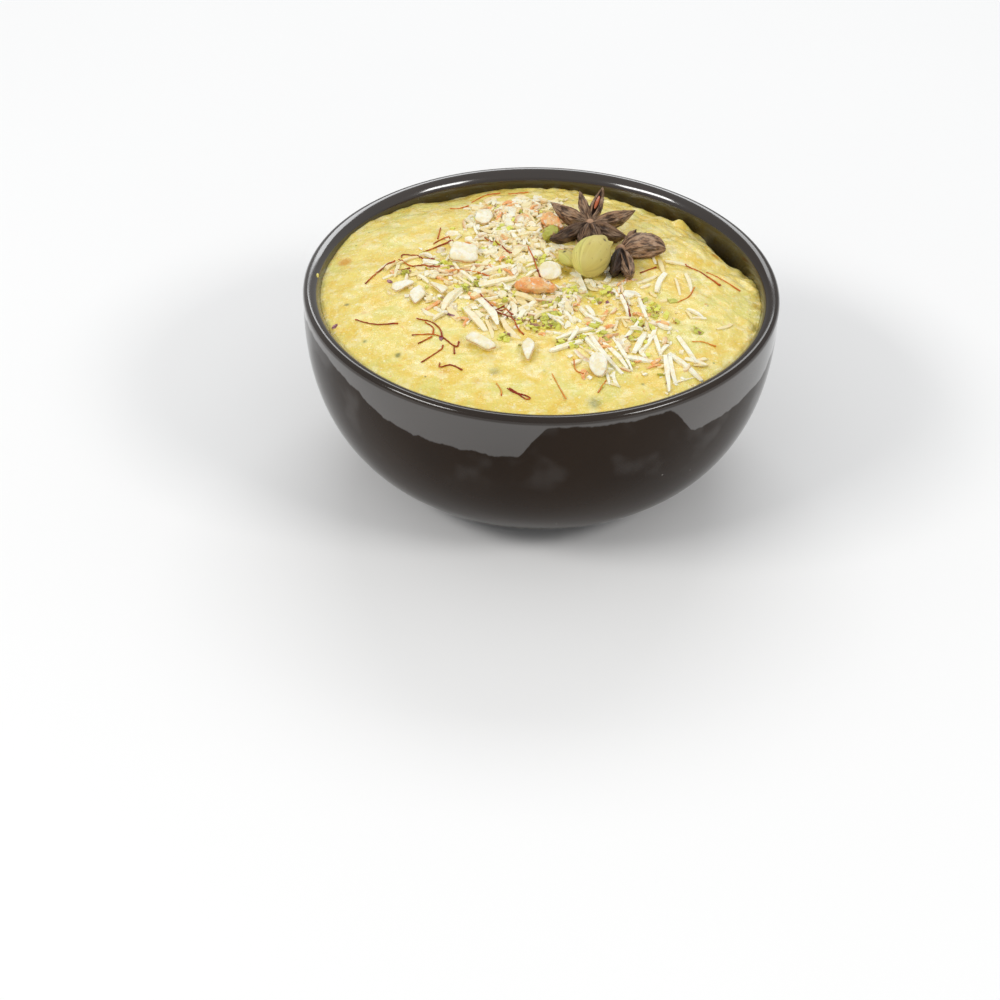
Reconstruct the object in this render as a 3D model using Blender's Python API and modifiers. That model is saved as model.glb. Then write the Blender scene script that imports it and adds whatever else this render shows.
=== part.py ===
"""Garlic halwa in a black glazed bowl, topped with nuts, saffron, star anise and cardamom.

Metres, +Z up. The origin is on the table, under the middle of the bowl.
The viewer stands at -Y, so +Y is the far side of the bowl and +X is its right.
"""
import math
import random

import bmesh
import bpy
from mathutils import Euler, Matrix, Vector, noise

MM = 0.001

# The bowl: a thrown stoneware bowl with a low foot ring and a rounded lip.
RIM_RADIUS = 78 * MM
BOWL_HEIGHT = 67 * MM
FOOT_RADIUS = 38 * MM
FOOT_WIDTH = 5 * MM
FOOT_HEIGHT = 2.5 * MM
FLOOR_HEIGHT = 8 * MM
LIP_OUTER_ROUND = 1.8 * MM
LIP_INNER_WIDTH = 4.0 * MM
LIP_INNER_DEPTH = 5.0 * MM
OUTER_FULLNESS = 2.58
OUTER_ROUNDNESS = 0.536
INNER_FULLNESS = 4.5
INNER_ROUNDNESS = 0.42
BOWL_SEGMENTS = 50

# The halwa: filled to a few millimetres under the lip, its middle heaped just above it.
HEAP_ABOVE_RIM = 2.0 * MM
CLEARANCE = 0.35 * MM
WALL_CLEARANCE = 0.6 * MM
HALWA_SEGMENTS = 84
SHOULDER_POWER = 4.0
CORE_SHARE_KEPT = 0.27
LUMP_SIZE = 9 * MM
LUMP_HEIGHT = 0.55 * MM

# How far the halwa's edge lies under the rim, in millimetres, by compass angle in degrees.
EDGE_DEPTHS = [
    (-180, 3.7), (-150, 3.3), (-120, 3.0), (-90, 2.9), (-60, 3.0), (-30, 3.6), (-8, 4.4),
    (8, 5.4), (16, 9.0), (27, 15.0), (36, 11.0), (44, 8.0), (54, 9.0), (66, 7.6),
    (90, 5.8), (104, 6.3), (117, 7.4), (128, 4.8), (150, 3.2), (165, 3.8), (180, 3.7),
]
# A fold at the right back, where the halwa has pulled away from the wall.
FOLD_ANGLE = 27.0
FOLD_HALF_WIDTH = 14.0
FOLD_POWER = 9.0

# The star anise: boat-shaped carpels round a hub. Each carpel is its heading in degrees,
# its length and width in millimetres, how far its seam gapes, and its roll in degrees.
CARPEL_DEPTH = 8.0 * MM
WHOLE_STAR = [
    (150, 14.6, 5.2, 0.1, 0), (105, 13.2, 3.8, 0.1, 0), (74, 15.4, 4.2, 0.5, 0),
    (17, 15.2, 5.2, 0.1, 0), (-32, 13.6, 5.2, 0.1, 0), (-72, 10.5, 5.2, 0.1, 0),
    (-108, 10.5, 5.2, 0.1, 0), (-145, 16.2, 5.2, 0.1, 0),
]
BROKEN_STAR = [
    (14, 15.2, 5.6, 0.2, 116), (-80, 16.8, 5.2, 0.5, 8), (60, 10.5, 4.4, 0.1, 0),
    (-101, 15.6, 4.4, 0.1, 0),
]

# The small garnish, spread evenly over ovals, in millimetres and degrees: how many pieces,
# the oval's centre, its half axes and its turn. None lies further out than GARNISH_REACH.
GARNISH_REACH = 66.0
HEAP_SLIVERS = (80, (-14.0, 14.0), (37.0, 31.0), 100)
HEAP_FLAKES = (26, (-16.0, 20.0), (34.0, 25.0), 105)
RIGHT_SLIVERS = (30, (18.0, -30.0), (29.0, 17.0), -10)
CRUMBS = (34, (2.0, -6.0), (44.0, 30.0), -25)
# The long slivers that fan out at the front right: x, y, heading in degrees, length.
FAN_SLIVERS = [
    (22.0, -42.0, -60, 17), (25.0, -38.0, -58, 14), (31.5, -45.5, -8, 11),
    (32.5, -33.5, 68, 17), (36.8, -37.0, -82, 12), (39.5, -49.5, -84, 15),
    (45.0, -46.0, -50, 14), (45.4, -38.0, -72, 14), (26.0, -31.5, 70, 13),
    (11.5, -33.6, 14, 13), (7.5, -39.5, 30, 12), (41.5, -40.5, -40, 11),
]
PIECE_SEED = 24
SHORTEST_EDGE = 0.02 * MM


def bowl_outer_radius(z):
    """Radius of the outer wall at height z, from the foot to just under the lip."""
    top = BOWL_HEIGHT - LIP_OUTER_ROUND
    share = min(max((top - z) / (top - FOOT_HEIGHT), 0.0), 1.0)
    swell = (1 - share ** OUTER_FULLNESS) ** OUTER_ROUNDNESS
    return FOOT_RADIUS + (RIM_RADIUS - FOOT_RADIUS) * swell


def inner_mouth_radius():
    """Radius of the inner wall where the lip's rounding ends."""
    return RIM_RADIUS - LIP_OUTER_ROUND - LIP_INNER_WIDTH


def bowl_inner_radius(z, inset=0.0):
    """Radius of the inner wall at height z, drawn in by inset for what lies inside it."""
    lip_start = BOWL_HEIGHT - LIP_INNER_DEPTH
    floor = FLOOR_HEIGHT + inset
    if z >= lip_start:
        rise = min((z - lip_start) / LIP_INNER_DEPTH, 1.0)
        flare = LIP_INNER_WIDTH * (1 - math.sqrt(max(1 - rise * rise, 0.0)))
        return inner_mouth_radius() + flare - inset
    share = min((lip_start - z) / (lip_start - floor), 1.0)
    swell = (1 - share ** INNER_FULLNESS) ** INNER_ROUNDNESS
    return (inner_mouth_radius() - inset) * swell


def edge_depth(angle):
    """Depth of the halwa's edge under the rim at a compass angle in degrees, in metres."""
    for (start, low), (end, high) in zip(EDGE_DEPTHS, EDGE_DEPTHS[1:]):
        if start <= angle <= end:
            share = (angle - start) / (end - start)
            eased = share * share * (3 - 2 * share)
            return (low + (high - low) * eased) * MM
    return EDGE_DEPTHS[0][1] * MM


def halwa_height(x, y):
    """Height of the halwa's top over the point x, y, garnish left out."""
    angle = math.degrees(math.atan2(y, x))
    reach = inner_mouth_radius()
    spread = min(math.hypot(x, y) / reach, 1.0)
    from_fold = min(abs(angle - FOLD_ANGLE) / FOLD_HALF_WIDTH, 1.0)
    fold = 0.5 + 0.5 * math.cos(math.pi * from_fold)
    power = SHOULDER_POWER + (FOLD_POWER - SHOULDER_POWER) * fold
    drop = (HEAP_ABOVE_RIM + edge_depth(angle)) * spread ** power
    lump = noise.noise(Vector((x / LUMP_SIZE, y / LUMP_SIZE, 0.3)))
    return BOWL_HEIGHT + HEAP_ABOVE_RIM - drop + LUMP_HEIGHT * lump * (1 - spread ** 8)


def clear_scene():
    for old in list(bpy.data.objects):
        bpy.data.objects.remove(old, do_unlink=True)
    for old in list(bpy.data.collections):
        bpy.data.collections.remove(old)


def new_collection(name):
    collection = bpy.data.collections.new(name)
    bpy.context.scene.collection.children.link(collection)
    return collection


def finish_material(name, colour, roughness):
    """A plain Principled material; nothing in this dish is metal."""
    material = bpy.data.materials.new(name)
    material.use_nodes = True
    shader = material.node_tree.nodes["Principled BSDF"]
    shader.inputs["Base Color"].default_value = (*colour, 1.0)
    shader.inputs["Roughness"].default_value = roughness
    shader.inputs["Metallic"].default_value = 0.0
    return material


def add_object(name, mesh, collection, material=None):
    item = bpy.data.objects.new(name, mesh)
    collection.objects.link(item)
    if material is not None:
        mesh.materials.append(material)
    return item


def mesh_from(bm, name):
    """Close the bmesh into a mesh whose faces point out."""
    bmesh.ops.recalc_face_normals(bm, faces=bm.faces)
    mesh = bpy.data.meshes.new(name)
    bm.to_mesh(mesh)
    bm.free()
    return mesh


def evaluated_copy(item):
    """The object's mesh with its modifiers applied."""
    bpy.context.view_layer.update()
    graph = bpy.context.evaluated_depsgraph_get()
    return bpy.data.meshes.new_from_object(item.evaluated_get(graph), depsgraph=graph)


def apply_modifiers(item):
    mesh = evaluated_copy(item)
    item.modifiers.clear()
    item.data = mesh


def turned(name, profile, segments, collection, material):
    """A profile of (radius, z) turned about the Z axis with a Screw modifier."""
    bm = bmesh.new()
    corners = [bm.verts.new((radius, 0.0, z)) for radius, z in profile]
    for start, end in zip(corners, corners[1:]):
        bm.edges.new((start, end))
    mesh = bpy.data.meshes.new(name)
    bm.to_mesh(mesh)
    bm.free()
    item = add_object(name, mesh, collection, material)
    screw = item.modifiers.new("Turn", "SCREW")
    screw.steps = segments
    screw.render_steps = segments
    screw.use_merge_vertices = True
    screw.merge_threshold = 0.00002
    return item


def bowl_profile():
    """From the middle of the inside, up and over the lip, down the outside, under the foot."""
    lip_start = BOWL_HEIGHT - LIP_INNER_DEPTH
    inside = []
    steps = 12
    for step in range(steps + 1):
        share = step / steps
        z = FLOOR_HEIGHT + (lip_start - FLOOR_HEIGHT) * share ** 1.8
        inside.append((bowl_inner_radius(z), z))
    lip = []
    for step in range(1, 5):
        angle = 0.5 * math.pi * step / 4
        radius = inner_mouth_radius() + LIP_INNER_WIDTH * (1 - math.cos(angle))
        lip.append((radius, lip_start + LIP_INNER_DEPTH * math.sin(angle)))
    for step in range(1, 4):
        angle = 0.5 * math.pi * step / 3
        radius = RIM_RADIUS - LIP_OUTER_ROUND * (1 - math.sin(angle))
        lip.append((radius, BOWL_HEIGHT - LIP_OUTER_ROUND * (1 - math.cos(angle))))
    outside = []
    steps = 8
    drop = BOWL_HEIGHT - LIP_OUTER_ROUND - FOOT_HEIGHT
    for step in range(1, steps + 1):
        share = 1 - (1 - step / steps) ** 1.7
        z = BOWL_HEIGHT - LIP_OUTER_ROUND - drop * share
        outside.append((bowl_outer_radius(z), z))
    edge = 0.5 * MM
    inner_foot = FOOT_RADIUS - FOOT_WIDTH
    recess = 0.6 * FOOT_HEIGHT
    foot = [
        (FOOT_RADIUS, edge), (FOOT_RADIUS - edge, 0.0),
        (inner_foot + edge, 0.0), (inner_foot, edge),
        (inner_foot - edge, recess), (0.0, recess),
    ]
    return inside + lip + outside + foot


def make_bowl(collection):
    glaze = finish_material("black_glaze", (0.012, 0.012, 0.013), 0.08)
    bowl = turned("bowl", bowl_profile(), BOWL_SEGMENTS, collection, glaze)
    apply_modifiers(bowl)
    bowl.data.shade_smooth()
    bowl.data.set_sharp_from_angle(angle=math.radians(40))
    return bowl


def make_halwa_core(collection):
    """The halwa without its garnish: turned flat, then shaped to the wall and the heap."""
    level = BOWL_HEIGHT - 4 * MM
    base = FLOOR_HEIGHT + WALL_CLEARANCE
    reach = bowl_inner_radius(level, WALL_CLEARANCE)
    rings = 14
    tops = [(reach * (step / rings) ** 0.8, level) for step in range(rings)]
    sides = []
    steps = 6
    for step in range(steps + 1):
        z = base + (level - base) * (1 - step / steps) ** 1.8
        radius = bowl_inner_radius(z, WALL_CLEARANCE) if step < steps else 0.0
        sides.append((reach if step == 0 else radius, z))
    paste = finish_material("halwa_paste", (0.80, 0.66, 0.24), 0.35)
    halwa = turned("halwa", tops + sides, HALWA_SEGMENTS, collection, paste)
    apply_modifiers(halwa)
    for vertex in halwa.data.vertices:
        x, y, z = vertex.co
        radius = math.hypot(x, y)
        if radius < 0.01 * MM:
            vertex.co.z = halwa_height(0.0, 0.0) if z > 0.5 * level else base
            continue
        top_edge = BOWL_HEIGHT - edge_depth(math.degrees(math.atan2(y, x)))
        wall_radius = bowl_inner_radius(top_edge, WALL_CLEARANCE)
        if abs(z - level) < 0.01 * MM:
            stretch = 1 + (wall_radius / reach - 1) * (radius / reach) ** 4
            new_x = x * stretch
            new_y = y * stretch
            vertex.co = (new_x, new_y, halwa_height(new_x, new_y))
            if radius > reach - 0.01 * MM:
                vertex.co.z = top_edge
        else:
            share = (z - base) / (level - base)
            new_z = base + (top_edge - base) * share
            new_radius = bowl_inner_radius(new_z, WALL_CLEARANCE)
            vertex.co = (x * new_radius / radius, y * new_radius / radius, new_z)
    thin = halwa.modifiers.new("Thin", "DECIMATE")
    thin.ratio = CORE_SHARE_KEPT
    apply_modifiers(halwa)
    return halwa


def seat(bm, x, y, lift, turn=(0.0, 0.0, 0.0)):
    """Turn a piece, in degrees about X, Y and Z, and set it over the halwa at x, y."""
    angles = Euler([math.radians(value) for value in turn], "XYZ")
    place = Matrix.Translation((x * MM, y * MM, halwa_height(x * MM, y * MM) + lift * MM))
    bmesh.ops.transform(bm, matrix=place @ angles.to_matrix().to_4x4(), verts=bm.verts)


def plate(length, width, thick, point=0.0, bow=0.0, sides=12):
    """A slice of nut or fruit: a rounded plate, pointed at +X by point, bowed up by bow."""
    bm = bmesh.new()
    bmesh.ops.create_circle(bm, cap_ends=True, segments=sides, radius=1.0)
    for vertex in bm.verts:
        along, across = vertex.co.x, vertex.co.y
        taper = 1 - point * (0.5 + 0.5 * along) ** 2
        vertex.co = (along * length / 2, across * taper * width / 2, -thick / 2)
    grown = bmesh.ops.extrude_face_region(bm, geom=bm.faces[:])
    raised = [part for part in grown["geom"] if isinstance(part, bmesh.types.BMVert)]
    bmesh.ops.translate(bm, verts=raised, vec=(0, 0, thick))
    rims = [edge for edge in bm.edges if abs(edge.verts[0].co.z - edge.verts[1].co.z) < 0.01 * thick]
    bmesh.ops.bevel(bm, geom=rims, offset=0.28 * thick, affect="EDGES", segments=1,
                    profile=0.5, material=-1)
    for vertex in bm.verts:
        vertex.co.z += bow * (1 - (2 * vertex.co.x / length) ** 2)
    return bm


def strip(length, width, thick, bow, taper, cuts=0):
    """A sliver of almond: a flat stick thinned at its tip, and bowed where it has cuts."""
    bm = bmesh.new()
    bmesh.ops.create_cube(bm, size=1.0)
    long_edges = [edge for edge in bm.edges if abs(edge.verts[0].co.x - edge.verts[1].co.x) > 0.5]
    if cuts:
        bmesh.ops.subdivide_edges(bm, edges=long_edges, cuts=cuts)
    for vertex in bm.verts:
        slim = 1 - taper * max(2 * vertex.co.x, 0.0)
        swell = 1 - 0.35 * max(-2 * vertex.co.x, 0.0)
        vertex.co.y *= width * slim * swell
        vertex.co.z = vertex.co.z * thick * (0.4 + 0.6 * slim) + bow * (1 - 4 * vertex.co.x ** 2)
        vertex.co.x *= length
    return bm


def crumb(size, rng):
    """A chopped bit of pistachio: a small uneven ball."""
    bm = bmesh.new()
    bmesh.ops.create_icosphere(bm, subdivisions=1, radius=size / 2)
    for vertex in bm.verts:
        vertex.co *= rng.uniform(0.75, 1.2)
    return bm


def seed_boat(length, width, depth, gape, roll):
    """One carpel of a star anise: a narrow boat with a straight seam, a keel and a beak."""
    bm = bmesh.new()
    bmesh.ops.create_uvsphere(bm, u_segments=6, v_segments=6, radius=1.0)
    bmesh.ops.rotate(bm, cent=(0, 0, 0), matrix=Matrix.Rotation(math.radians(90), 3, "Y"),
                     verts=bm.verts)
    for vertex in bm.verts:
        share = 0.5 + 0.5 * vertex.co.x
        ring = math.sqrt(max(1 - vertex.co.x ** 2, 1e-9))
        side = vertex.co.y / ring
        rise = vertex.co.z / ring
        swell = max(math.sin(math.pi * share ** 0.85), 0.0)
        keel = swell ** 0.75 * (1 - 0.35 * share)
        beak = 0.9 * MM * max(share - 0.75, 0.0) * 4
        vertex.co.x = length * share
        if rise > 0:
            vertex.co.z = 0.22 * depth * swell * (rise - gape * (1 - abs(side)) * 2.2) + beak
        else:
            vertex.co.z = depth * keel * rise * 0.85 + beak
        vertex.co.y = 0.5 * width * side * swell ** 0.8
    bmesh.ops.rotate(bm, cent=(0, 0, -0.14 * depth), verts=bm.verts,
                     matrix=Matrix.Rotation(math.radians(roll), 3, "X"))
    return bm


def cardamom(length, width):
    """A green cardamom pod: a plump spindle with three rounded sides and a short beak."""
    bm = bmesh.new()
    bmesh.ops.create_uvsphere(bm, u_segments=12, v_segments=7, radius=1.0)
    bmesh.ops.rotate(bm, cent=(0, 0, 0), matrix=Matrix.Rotation(math.radians(90), 3, "Y"),
                     verts=bm.verts)
    for vertex in bm.verts:
        along = vertex.co.x
        around = math.atan2(vertex.co.z, vertex.co.y)
        ridge = 1 + 0.06 * math.cos(3 * around)
        slim = 1 - 0.22 * max(along, 0.0) ** 2
        vertex.co.y *= 0.5 * width * ridge * slim
        vertex.co.z *= 0.5 * width * ridge * slim
        reach = 0.5 * length * (along + 0.16 * max(along - 0.8, 0.0) * 5)
        vertex.co.x = reach
    return bm


def join_by_union(name, pieces, collection, material):
    """Join overlapping bmeshes into one solid with a Boolean union on a collection."""
    loose = new_collection(name + "_pieces")
    base = add_object(name, mesh_from(pieces[0], name), collection, material)
    for count, bm in enumerate(pieces[1:]):
        add_object(f"{name}_piece_{count}", mesh_from(bm, f"{name}_piece_{count}"), loose)
    join = base.modifiers.new("Join", "BOOLEAN")
    join.operation = "UNION"
    join.operand_type = "COLLECTION"
    join.collection = loose
    join.solver = "EXACT"
    apply_modifiers(base)
    for piece in list(loose.objects):
        bpy.data.objects.remove(piece, do_unlink=True)
    bpy.data.collections.remove(loose)
    tidy_solid(base)
    return base


def merge_short_edges(bm, limit):
    """Collapse edges shorter than limit, where that keeps the surface closed."""
    for edge in sorted(bm.edges, key=lambda item: item.calc_length()):
        if not edge.is_valid or edge.calc_length() > limit:
            continue
        near, far = edge.verts
        around_near = {other.other_vert(near) for other in near.link_edges}
        around_far = {other.other_vert(far) for other in far.link_edges}
        if len(around_near & around_far) == 2:
            middle = (near.co + far.co) / 2
            bmesh.ops.pointmerge(bm, verts=[near, far], merge_co=middle)


def tidy_solid(item):
    """Cut the faces into triangles, merge needles, and keep the largest shell."""
    bm = bmesh.new()
    bm.from_mesh(item.data)
    bmesh.ops.triangulate(bm, faces=bm.faces)
    merge_short_edges(bm, SHORTEST_EDGE)
    shells = []
    unseen = set(bm.faces)
    while unseen:
        front = [unseen.pop()]
        shell = set(front)
        while front:
            face = front.pop()
            for edge in face.edges:
                for other in edge.link_faces:
                    if other in unseen:
                        unseen.discard(other)
                        shell.add(other)
                        front.append(other)
        shells.append(shell)
    shells.sort(key=len, reverse=True)
    scraps = [face for shell in shells[1:] for face in shell]
    if scraps:
        bmesh.ops.delete(bm, geom=scraps, context="FACES")
    bm.to_mesh(item.data)
    bm.free()


def star_anise(name, carpels, collection, material, centre, tilt):
    """Carpels fused round a short hub, tilted and set over the halwa."""
    hub = bmesh.new()
    bmesh.ops.create_cone(hub, cap_ends=True, segments=10, radius1=1.6 * MM, radius2=2.6 * MM,
                          depth=4.4 * MM)
    bmesh.ops.translate(hub, verts=hub.verts, vec=(0, 0, -2.1 * MM))
    pieces = [hub]
    for angle, length, width, gape, roll in carpels:
        boat = seed_boat(length * MM, width * MM, CARPEL_DEPTH, gape, roll)
        bmesh.ops.translate(boat, verts=boat.verts, vec=(0.6 * MM, 0, 0))
        bmesh.ops.rotate(boat, cent=(0, 0, 0), verts=boat.verts,
                         matrix=Matrix.Rotation(math.radians(angle), 3, "Z"))
        pieces.append(boat)
    for bm in pieces:
        seat(bm, centre[0], centre[1], centre[2], tilt)
    return join_by_union(name, pieces, collection, material)


def make_toppings(collection):
    """The pieces large enough to be solids of their own, each resting on the halwa."""
    spice = finish_material("star_anise_brown", (0.085, 0.036, 0.026), 0.55)
    green = finish_material("cardamom_green", (0.42, 0.43, 0.10), 0.5)
    pistachio = finish_material("pistachio_green", (0.33, 0.42, 0.07), 0.5)
    cream = finish_material("almond_cream", (0.86, 0.74, 0.50), 0.45)
    orange = finish_material("dried_fruit_orange", (0.86, 0.33, 0.10), 0.4)

    toppings = [
        star_anise("star_anise_whole", WHOLE_STAR, collection, spice,
                   (16.2, 28.6, 5.0), (15, 0, 0)),
        star_anise("star_anise_broken", BROKEN_STAR, collection, spice,
                   (26.2, 13.5, 4.4), (4, 2, 0)),
    ]

    def single(name, bm, material, x, y, lift, turn):
        seat(bm, x, y, lift, turn)
        item = add_object(name, mesh_from(bm, name), collection, material)
        toppings.append(item)

    single("cardamom_pod_large", cardamom(17.0 * MM, 12.4 * MM), green, 16.5, 4.2, 6.2, (0, -9, 66))
    single("cardamom_pod_small", cardamom(9.0 * MM, 5.0 * MM), green, 8.4, 8.8, 2.1, (0, 5, 115))
    single("pistachio_half", plate(7.0 * MM, 4.6 * MM, 3.0 * MM), pistachio,
           3.0, 25.6, 1.6, (15, 0, 60))
    slices = [
        ("cashew_slice", (11.5, 9.6, 2.4, 0.15, 0.3), (-25.6, 11.6, 1.6), (14, 6, 25)),
        ("almond_slice_back", (9.5, 6.4, 1.6, 0.3, 0.3), (-19.5, 37.5, 1.2), (12, 0, 70)),
        ("almond_round_back", (7.4, 6.8, 1.7, 0.1, 0.3), (2.8, 0.6, 2.2), (38, 0, 10)),
        ("almond_slice_curved", (12.6, 4.4, 1.9, 0.25, 0.9), (-19.2, -40.0, 1.0), (18, 0, -40)),
        ("almond_slice_pointed", (12.5, 4.3, 1.7, 0.75, 0.5), (-4.2, -43.2, 0.9), (8, 0, -91)),
        ("almond_round_front", (10.0, 5.8, 1.7, 0.2, 0.3), (17.6, -50.6, 1.6), (20, 14, -80)),
        ("almond_flake_left", (10.5, 4.8, 1.3, 0.2, 0.4), (-40.2, -12.4, 0.9), (10, 0, 80)),
        ("almond_flake_far_left", (9.5, 3.4, 1.2, 0.5, 0.5), (-45.0, -7.0, 0.9), (12, 0, 38)),
        ("almond_flake_middle", (9.0, 4.6, 1.2, 0.3, 0.4), (-33.0, -8.6, 0.9), (-8, 0, -48)),
        ("dried_fruit_back", (10.4, 5.6, 2.6, 0.4, 0.9), (3.7, 33.1, 1.6), (22, 0, -48)),
        ("dried_fruit_front", (14.6, 5.2, 2.8, 0.3, 1.5), (-2.0, -8.6, 1.8), (24, 0, -6)),
    ]
    for name, size, spot, turn in slices:
        length, width, thick, point, bow = size
        material = orange if name.startswith("dried") else cream
        bm = plate(length * MM, width * MM, thick * MM, point, bow * MM)
        single(name, bm, material, spot[0], spot[1], spot[2], turn)
    return toppings


def spread_points(count, centre, reach, turn, rng):
    """Points spread evenly over an ellipse by the sunflower rule, each nudged a little."""
    golden = math.pi * (3 - math.sqrt(5))
    cos_turn = math.cos(math.radians(turn))
    sin_turn = math.sin(math.radians(turn))
    for index in range(count):
        radius = math.sqrt((index + 0.5) / count)
        angle = golden * index
        along = reach[0] * radius * math.cos(angle) + rng.uniform(-1.2, 1.2)
        across = reach[1] * radius * math.sin(angle) + rng.uniform(-1.2, 1.2)
        yield (centre[0] + along * cos_turn - across * sin_turn,
               centre[1] + along * sin_turn + across * cos_turn)


def free_spot(x, y, reach, taken):
    """True where a piece of this reach keeps clear of the solid toppings and the wall."""
    if math.hypot(x, y) + reach > GARNISH_REACH:
        return False
    return all(math.hypot(x - other_x, y - other_y) > reach * 0.4 + other_reach
               for other_x, other_y, other_reach in taken)


def resting(bm, x, y, yaw, lift, rng):
    """Lay a small piece on the slope of the halwa at x, y."""
    step = 1.5
    here_x = (halwa_height((x + step) * MM, y * MM) - halwa_height((x - step) * MM, y * MM))
    here_y = (halwa_height(x * MM, (y + step) * MM) - halwa_height(x * MM, (y - step) * MM))
    normal = Vector((-here_x, -here_y, 2 * step * MM)).normalized()
    lean = Vector((0, 0, 1)).rotation_difference(normal).to_matrix().to_4x4()
    wobble = Euler((rng.uniform(-0.25, 0.25), rng.uniform(-0.12, 0.12), yaw), "XYZ")
    place = Matrix.Translation((x * MM, y * MM, halwa_height(x * MM, y * MM) + lift * MM))
    bmesh.ops.transform(bm, matrix=place @ lean @ wobble.to_matrix().to_4x4(), verts=bm.verts)
    return bm


def garnish_pieces(toppings):
    """Slivers, flakes and chopped pistachio, largest first, clear of the solid toppings."""
    rng = random.Random(PIECE_SEED)
    taken = []
    for item in toppings:
        corners = [vertex.co for vertex in item.data.vertices]
        middle_x = sum(corner.x for corner in corners) / len(corners) / MM
        middle_y = sum(corner.y for corner in corners) / len(corners) / MM
        spans = [math.hypot(corner.x / MM - middle_x, corner.y / MM - middle_y)
                 for corner in corners]
        taken.append((middle_x, middle_y, 0.85 * max(spans)))
    pieces = []
    for x, y, heading, length in FAN_SLIVERS:
        bm = strip(length * MM, rng.uniform(1.7, 2.1) * MM, 1.2 * MM, 0.3 * MM, 0.45,
                   cuts=1)
        pieces.append(resting(bm, x, y, math.radians(heading), 0.45, rng))

    for x, y in spread_points(*HEAP_SLIVERS, rng):
        length = rng.uniform(6.5, 11.0)
        if free_spot(x, y, 0.5 * length, taken):
            bm = strip(length * MM, rng.uniform(1.3, 1.9) * MM, rng.uniform(1.0, 1.4) * MM,
                       0.3 * MM, 0.4)
            yaw = rng.uniform(0, 2 * math.pi)
            pieces.append(resting(bm, x, y, yaw, rng.uniform(0.3, 0.55), rng))
    for x, y in spread_points(*HEAP_FLAKES, rng):
        if free_spot(x, y, 2.4, taken):
            bm = plate(rng.uniform(4.5, 6.5) * MM, rng.uniform(3.0, 4.0) * MM, 0.9 * MM, 0.2,
                       0.2 * MM, sides=8)
            yaw = rng.uniform(0, 2 * math.pi)
            pieces.append(resting(bm, x, y, yaw, 0.35, rng))
    for x, y in spread_points(*RIGHT_SLIVERS, rng):
        length = rng.uniform(6.0, 9.5)
        if free_spot(x, y, 0.5 * length, taken):
            bm = strip(length * MM, 1.5 * MM, 1.1 * MM, 0.3 * MM, 0.4)
            yaw = rng.uniform(0, 2 * math.pi)
            pieces.append(resting(bm, x, y, yaw, 0.4, rng))
    for x, y in spread_points(*CRUMBS, rng):
        size = rng.uniform(1.8, 3.0)
        if free_spot(x, y, size, taken):
            bm = crumb(size * MM, rng)
            pieces.append(resting(bm, x, y, 0.0, 0.25 * size, rng))
    return pieces


def fuse_garnish(halwa, toppings):
    """Union the small garnish into the halwa, then cut a little room round each topping."""
    loose = new_collection("garnish_pieces")
    for count, bm in enumerate(garnish_pieces(toppings)):
        add_object(f"garnish_{count}", mesh_from(bm, f"garnish_{count}"), loose)
    join = halwa.modifiers.new("Join", "BOOLEAN")
    join.operation = "UNION"
    join.operand_type = "COLLECTION"
    join.collection = loose
    join.solver = "MANIFOLD"
    apply_modifiers(halwa)
    for piece in list(loose.objects):
        bpy.data.objects.remove(piece, do_unlink=True)
    bpy.data.collections.remove(loose)

    room = new_collection("cutters")
    for item in toppings:
        copy = add_object(item.name + "_room", item.data.copy(), room)
        copy.hide_render = True
        copy.display_type = "WIRE"
        swell = copy.modifiers.new("Swell", "DISPLACE")
        swell.strength = CLEARANCE
        swell.mid_level = 0.0
    cut = halwa.modifiers.new("Room", "BOOLEAN")
    cut.operation = "DIFFERENCE"
    cut.operand_type = "COLLECTION"
    cut.collection = room
    cut.solver = "MANIFOLD"
    apply_modifiers(halwa)
    tidy_solid(halwa)
    for copy in list(room.objects):
        bpy.data.objects.remove(copy, do_unlink=True)
    bpy.data.collections.remove(room)


clear_scene()
dish = new_collection("garlic_halwa")
make_bowl(dish)
core = make_halwa_core(dish)
rested = make_toppings(dish)
fuse_garnish(core, rested)
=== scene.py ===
"""The looks of a bowl of garlic halwa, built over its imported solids. Metres, +Z up."""
import math
import random

import bmesh
import bpy
from mathutils import Euler, Matrix, Vector, noise
from mathutils.bvhtree import BVHTree
from mathutils.geometry import interpolate_bezier, intersect_point_line


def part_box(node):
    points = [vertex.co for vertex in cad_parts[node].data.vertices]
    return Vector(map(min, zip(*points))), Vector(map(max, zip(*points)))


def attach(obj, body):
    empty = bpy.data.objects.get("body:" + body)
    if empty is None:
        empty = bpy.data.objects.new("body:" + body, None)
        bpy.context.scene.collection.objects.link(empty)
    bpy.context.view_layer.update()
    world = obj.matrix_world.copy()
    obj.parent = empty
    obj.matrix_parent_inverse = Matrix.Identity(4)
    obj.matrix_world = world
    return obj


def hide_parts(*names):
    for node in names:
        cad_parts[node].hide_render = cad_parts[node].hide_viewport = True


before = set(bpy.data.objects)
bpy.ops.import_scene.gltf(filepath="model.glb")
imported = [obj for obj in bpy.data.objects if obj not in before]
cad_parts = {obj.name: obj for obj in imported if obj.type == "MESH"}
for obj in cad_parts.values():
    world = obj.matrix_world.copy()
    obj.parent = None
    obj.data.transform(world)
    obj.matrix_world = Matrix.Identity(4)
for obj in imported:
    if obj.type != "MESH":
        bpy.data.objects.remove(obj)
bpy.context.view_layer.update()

# The view. The dish stands on a pale table, lit by two soft boxes in front, a wide one behind
# and a dim white room, and is seen from 37 degrees above the table.
MM = 0.001
CAMERA_TARGET = Vector((-12.1, 0.0, -22.5)) * MM
CAMERA_DISTANCE = 850 * MM
CAMERA_ELEVATION = math.radians(37.08)
CAMERA_ROLL = math.radians(1.16)
CAMERA_LENS = 87.5
SENSOR_WIDTH = 36.0
ROOM_STRENGTH = 0.49
TABLE_RADIUS = 6.0

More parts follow.
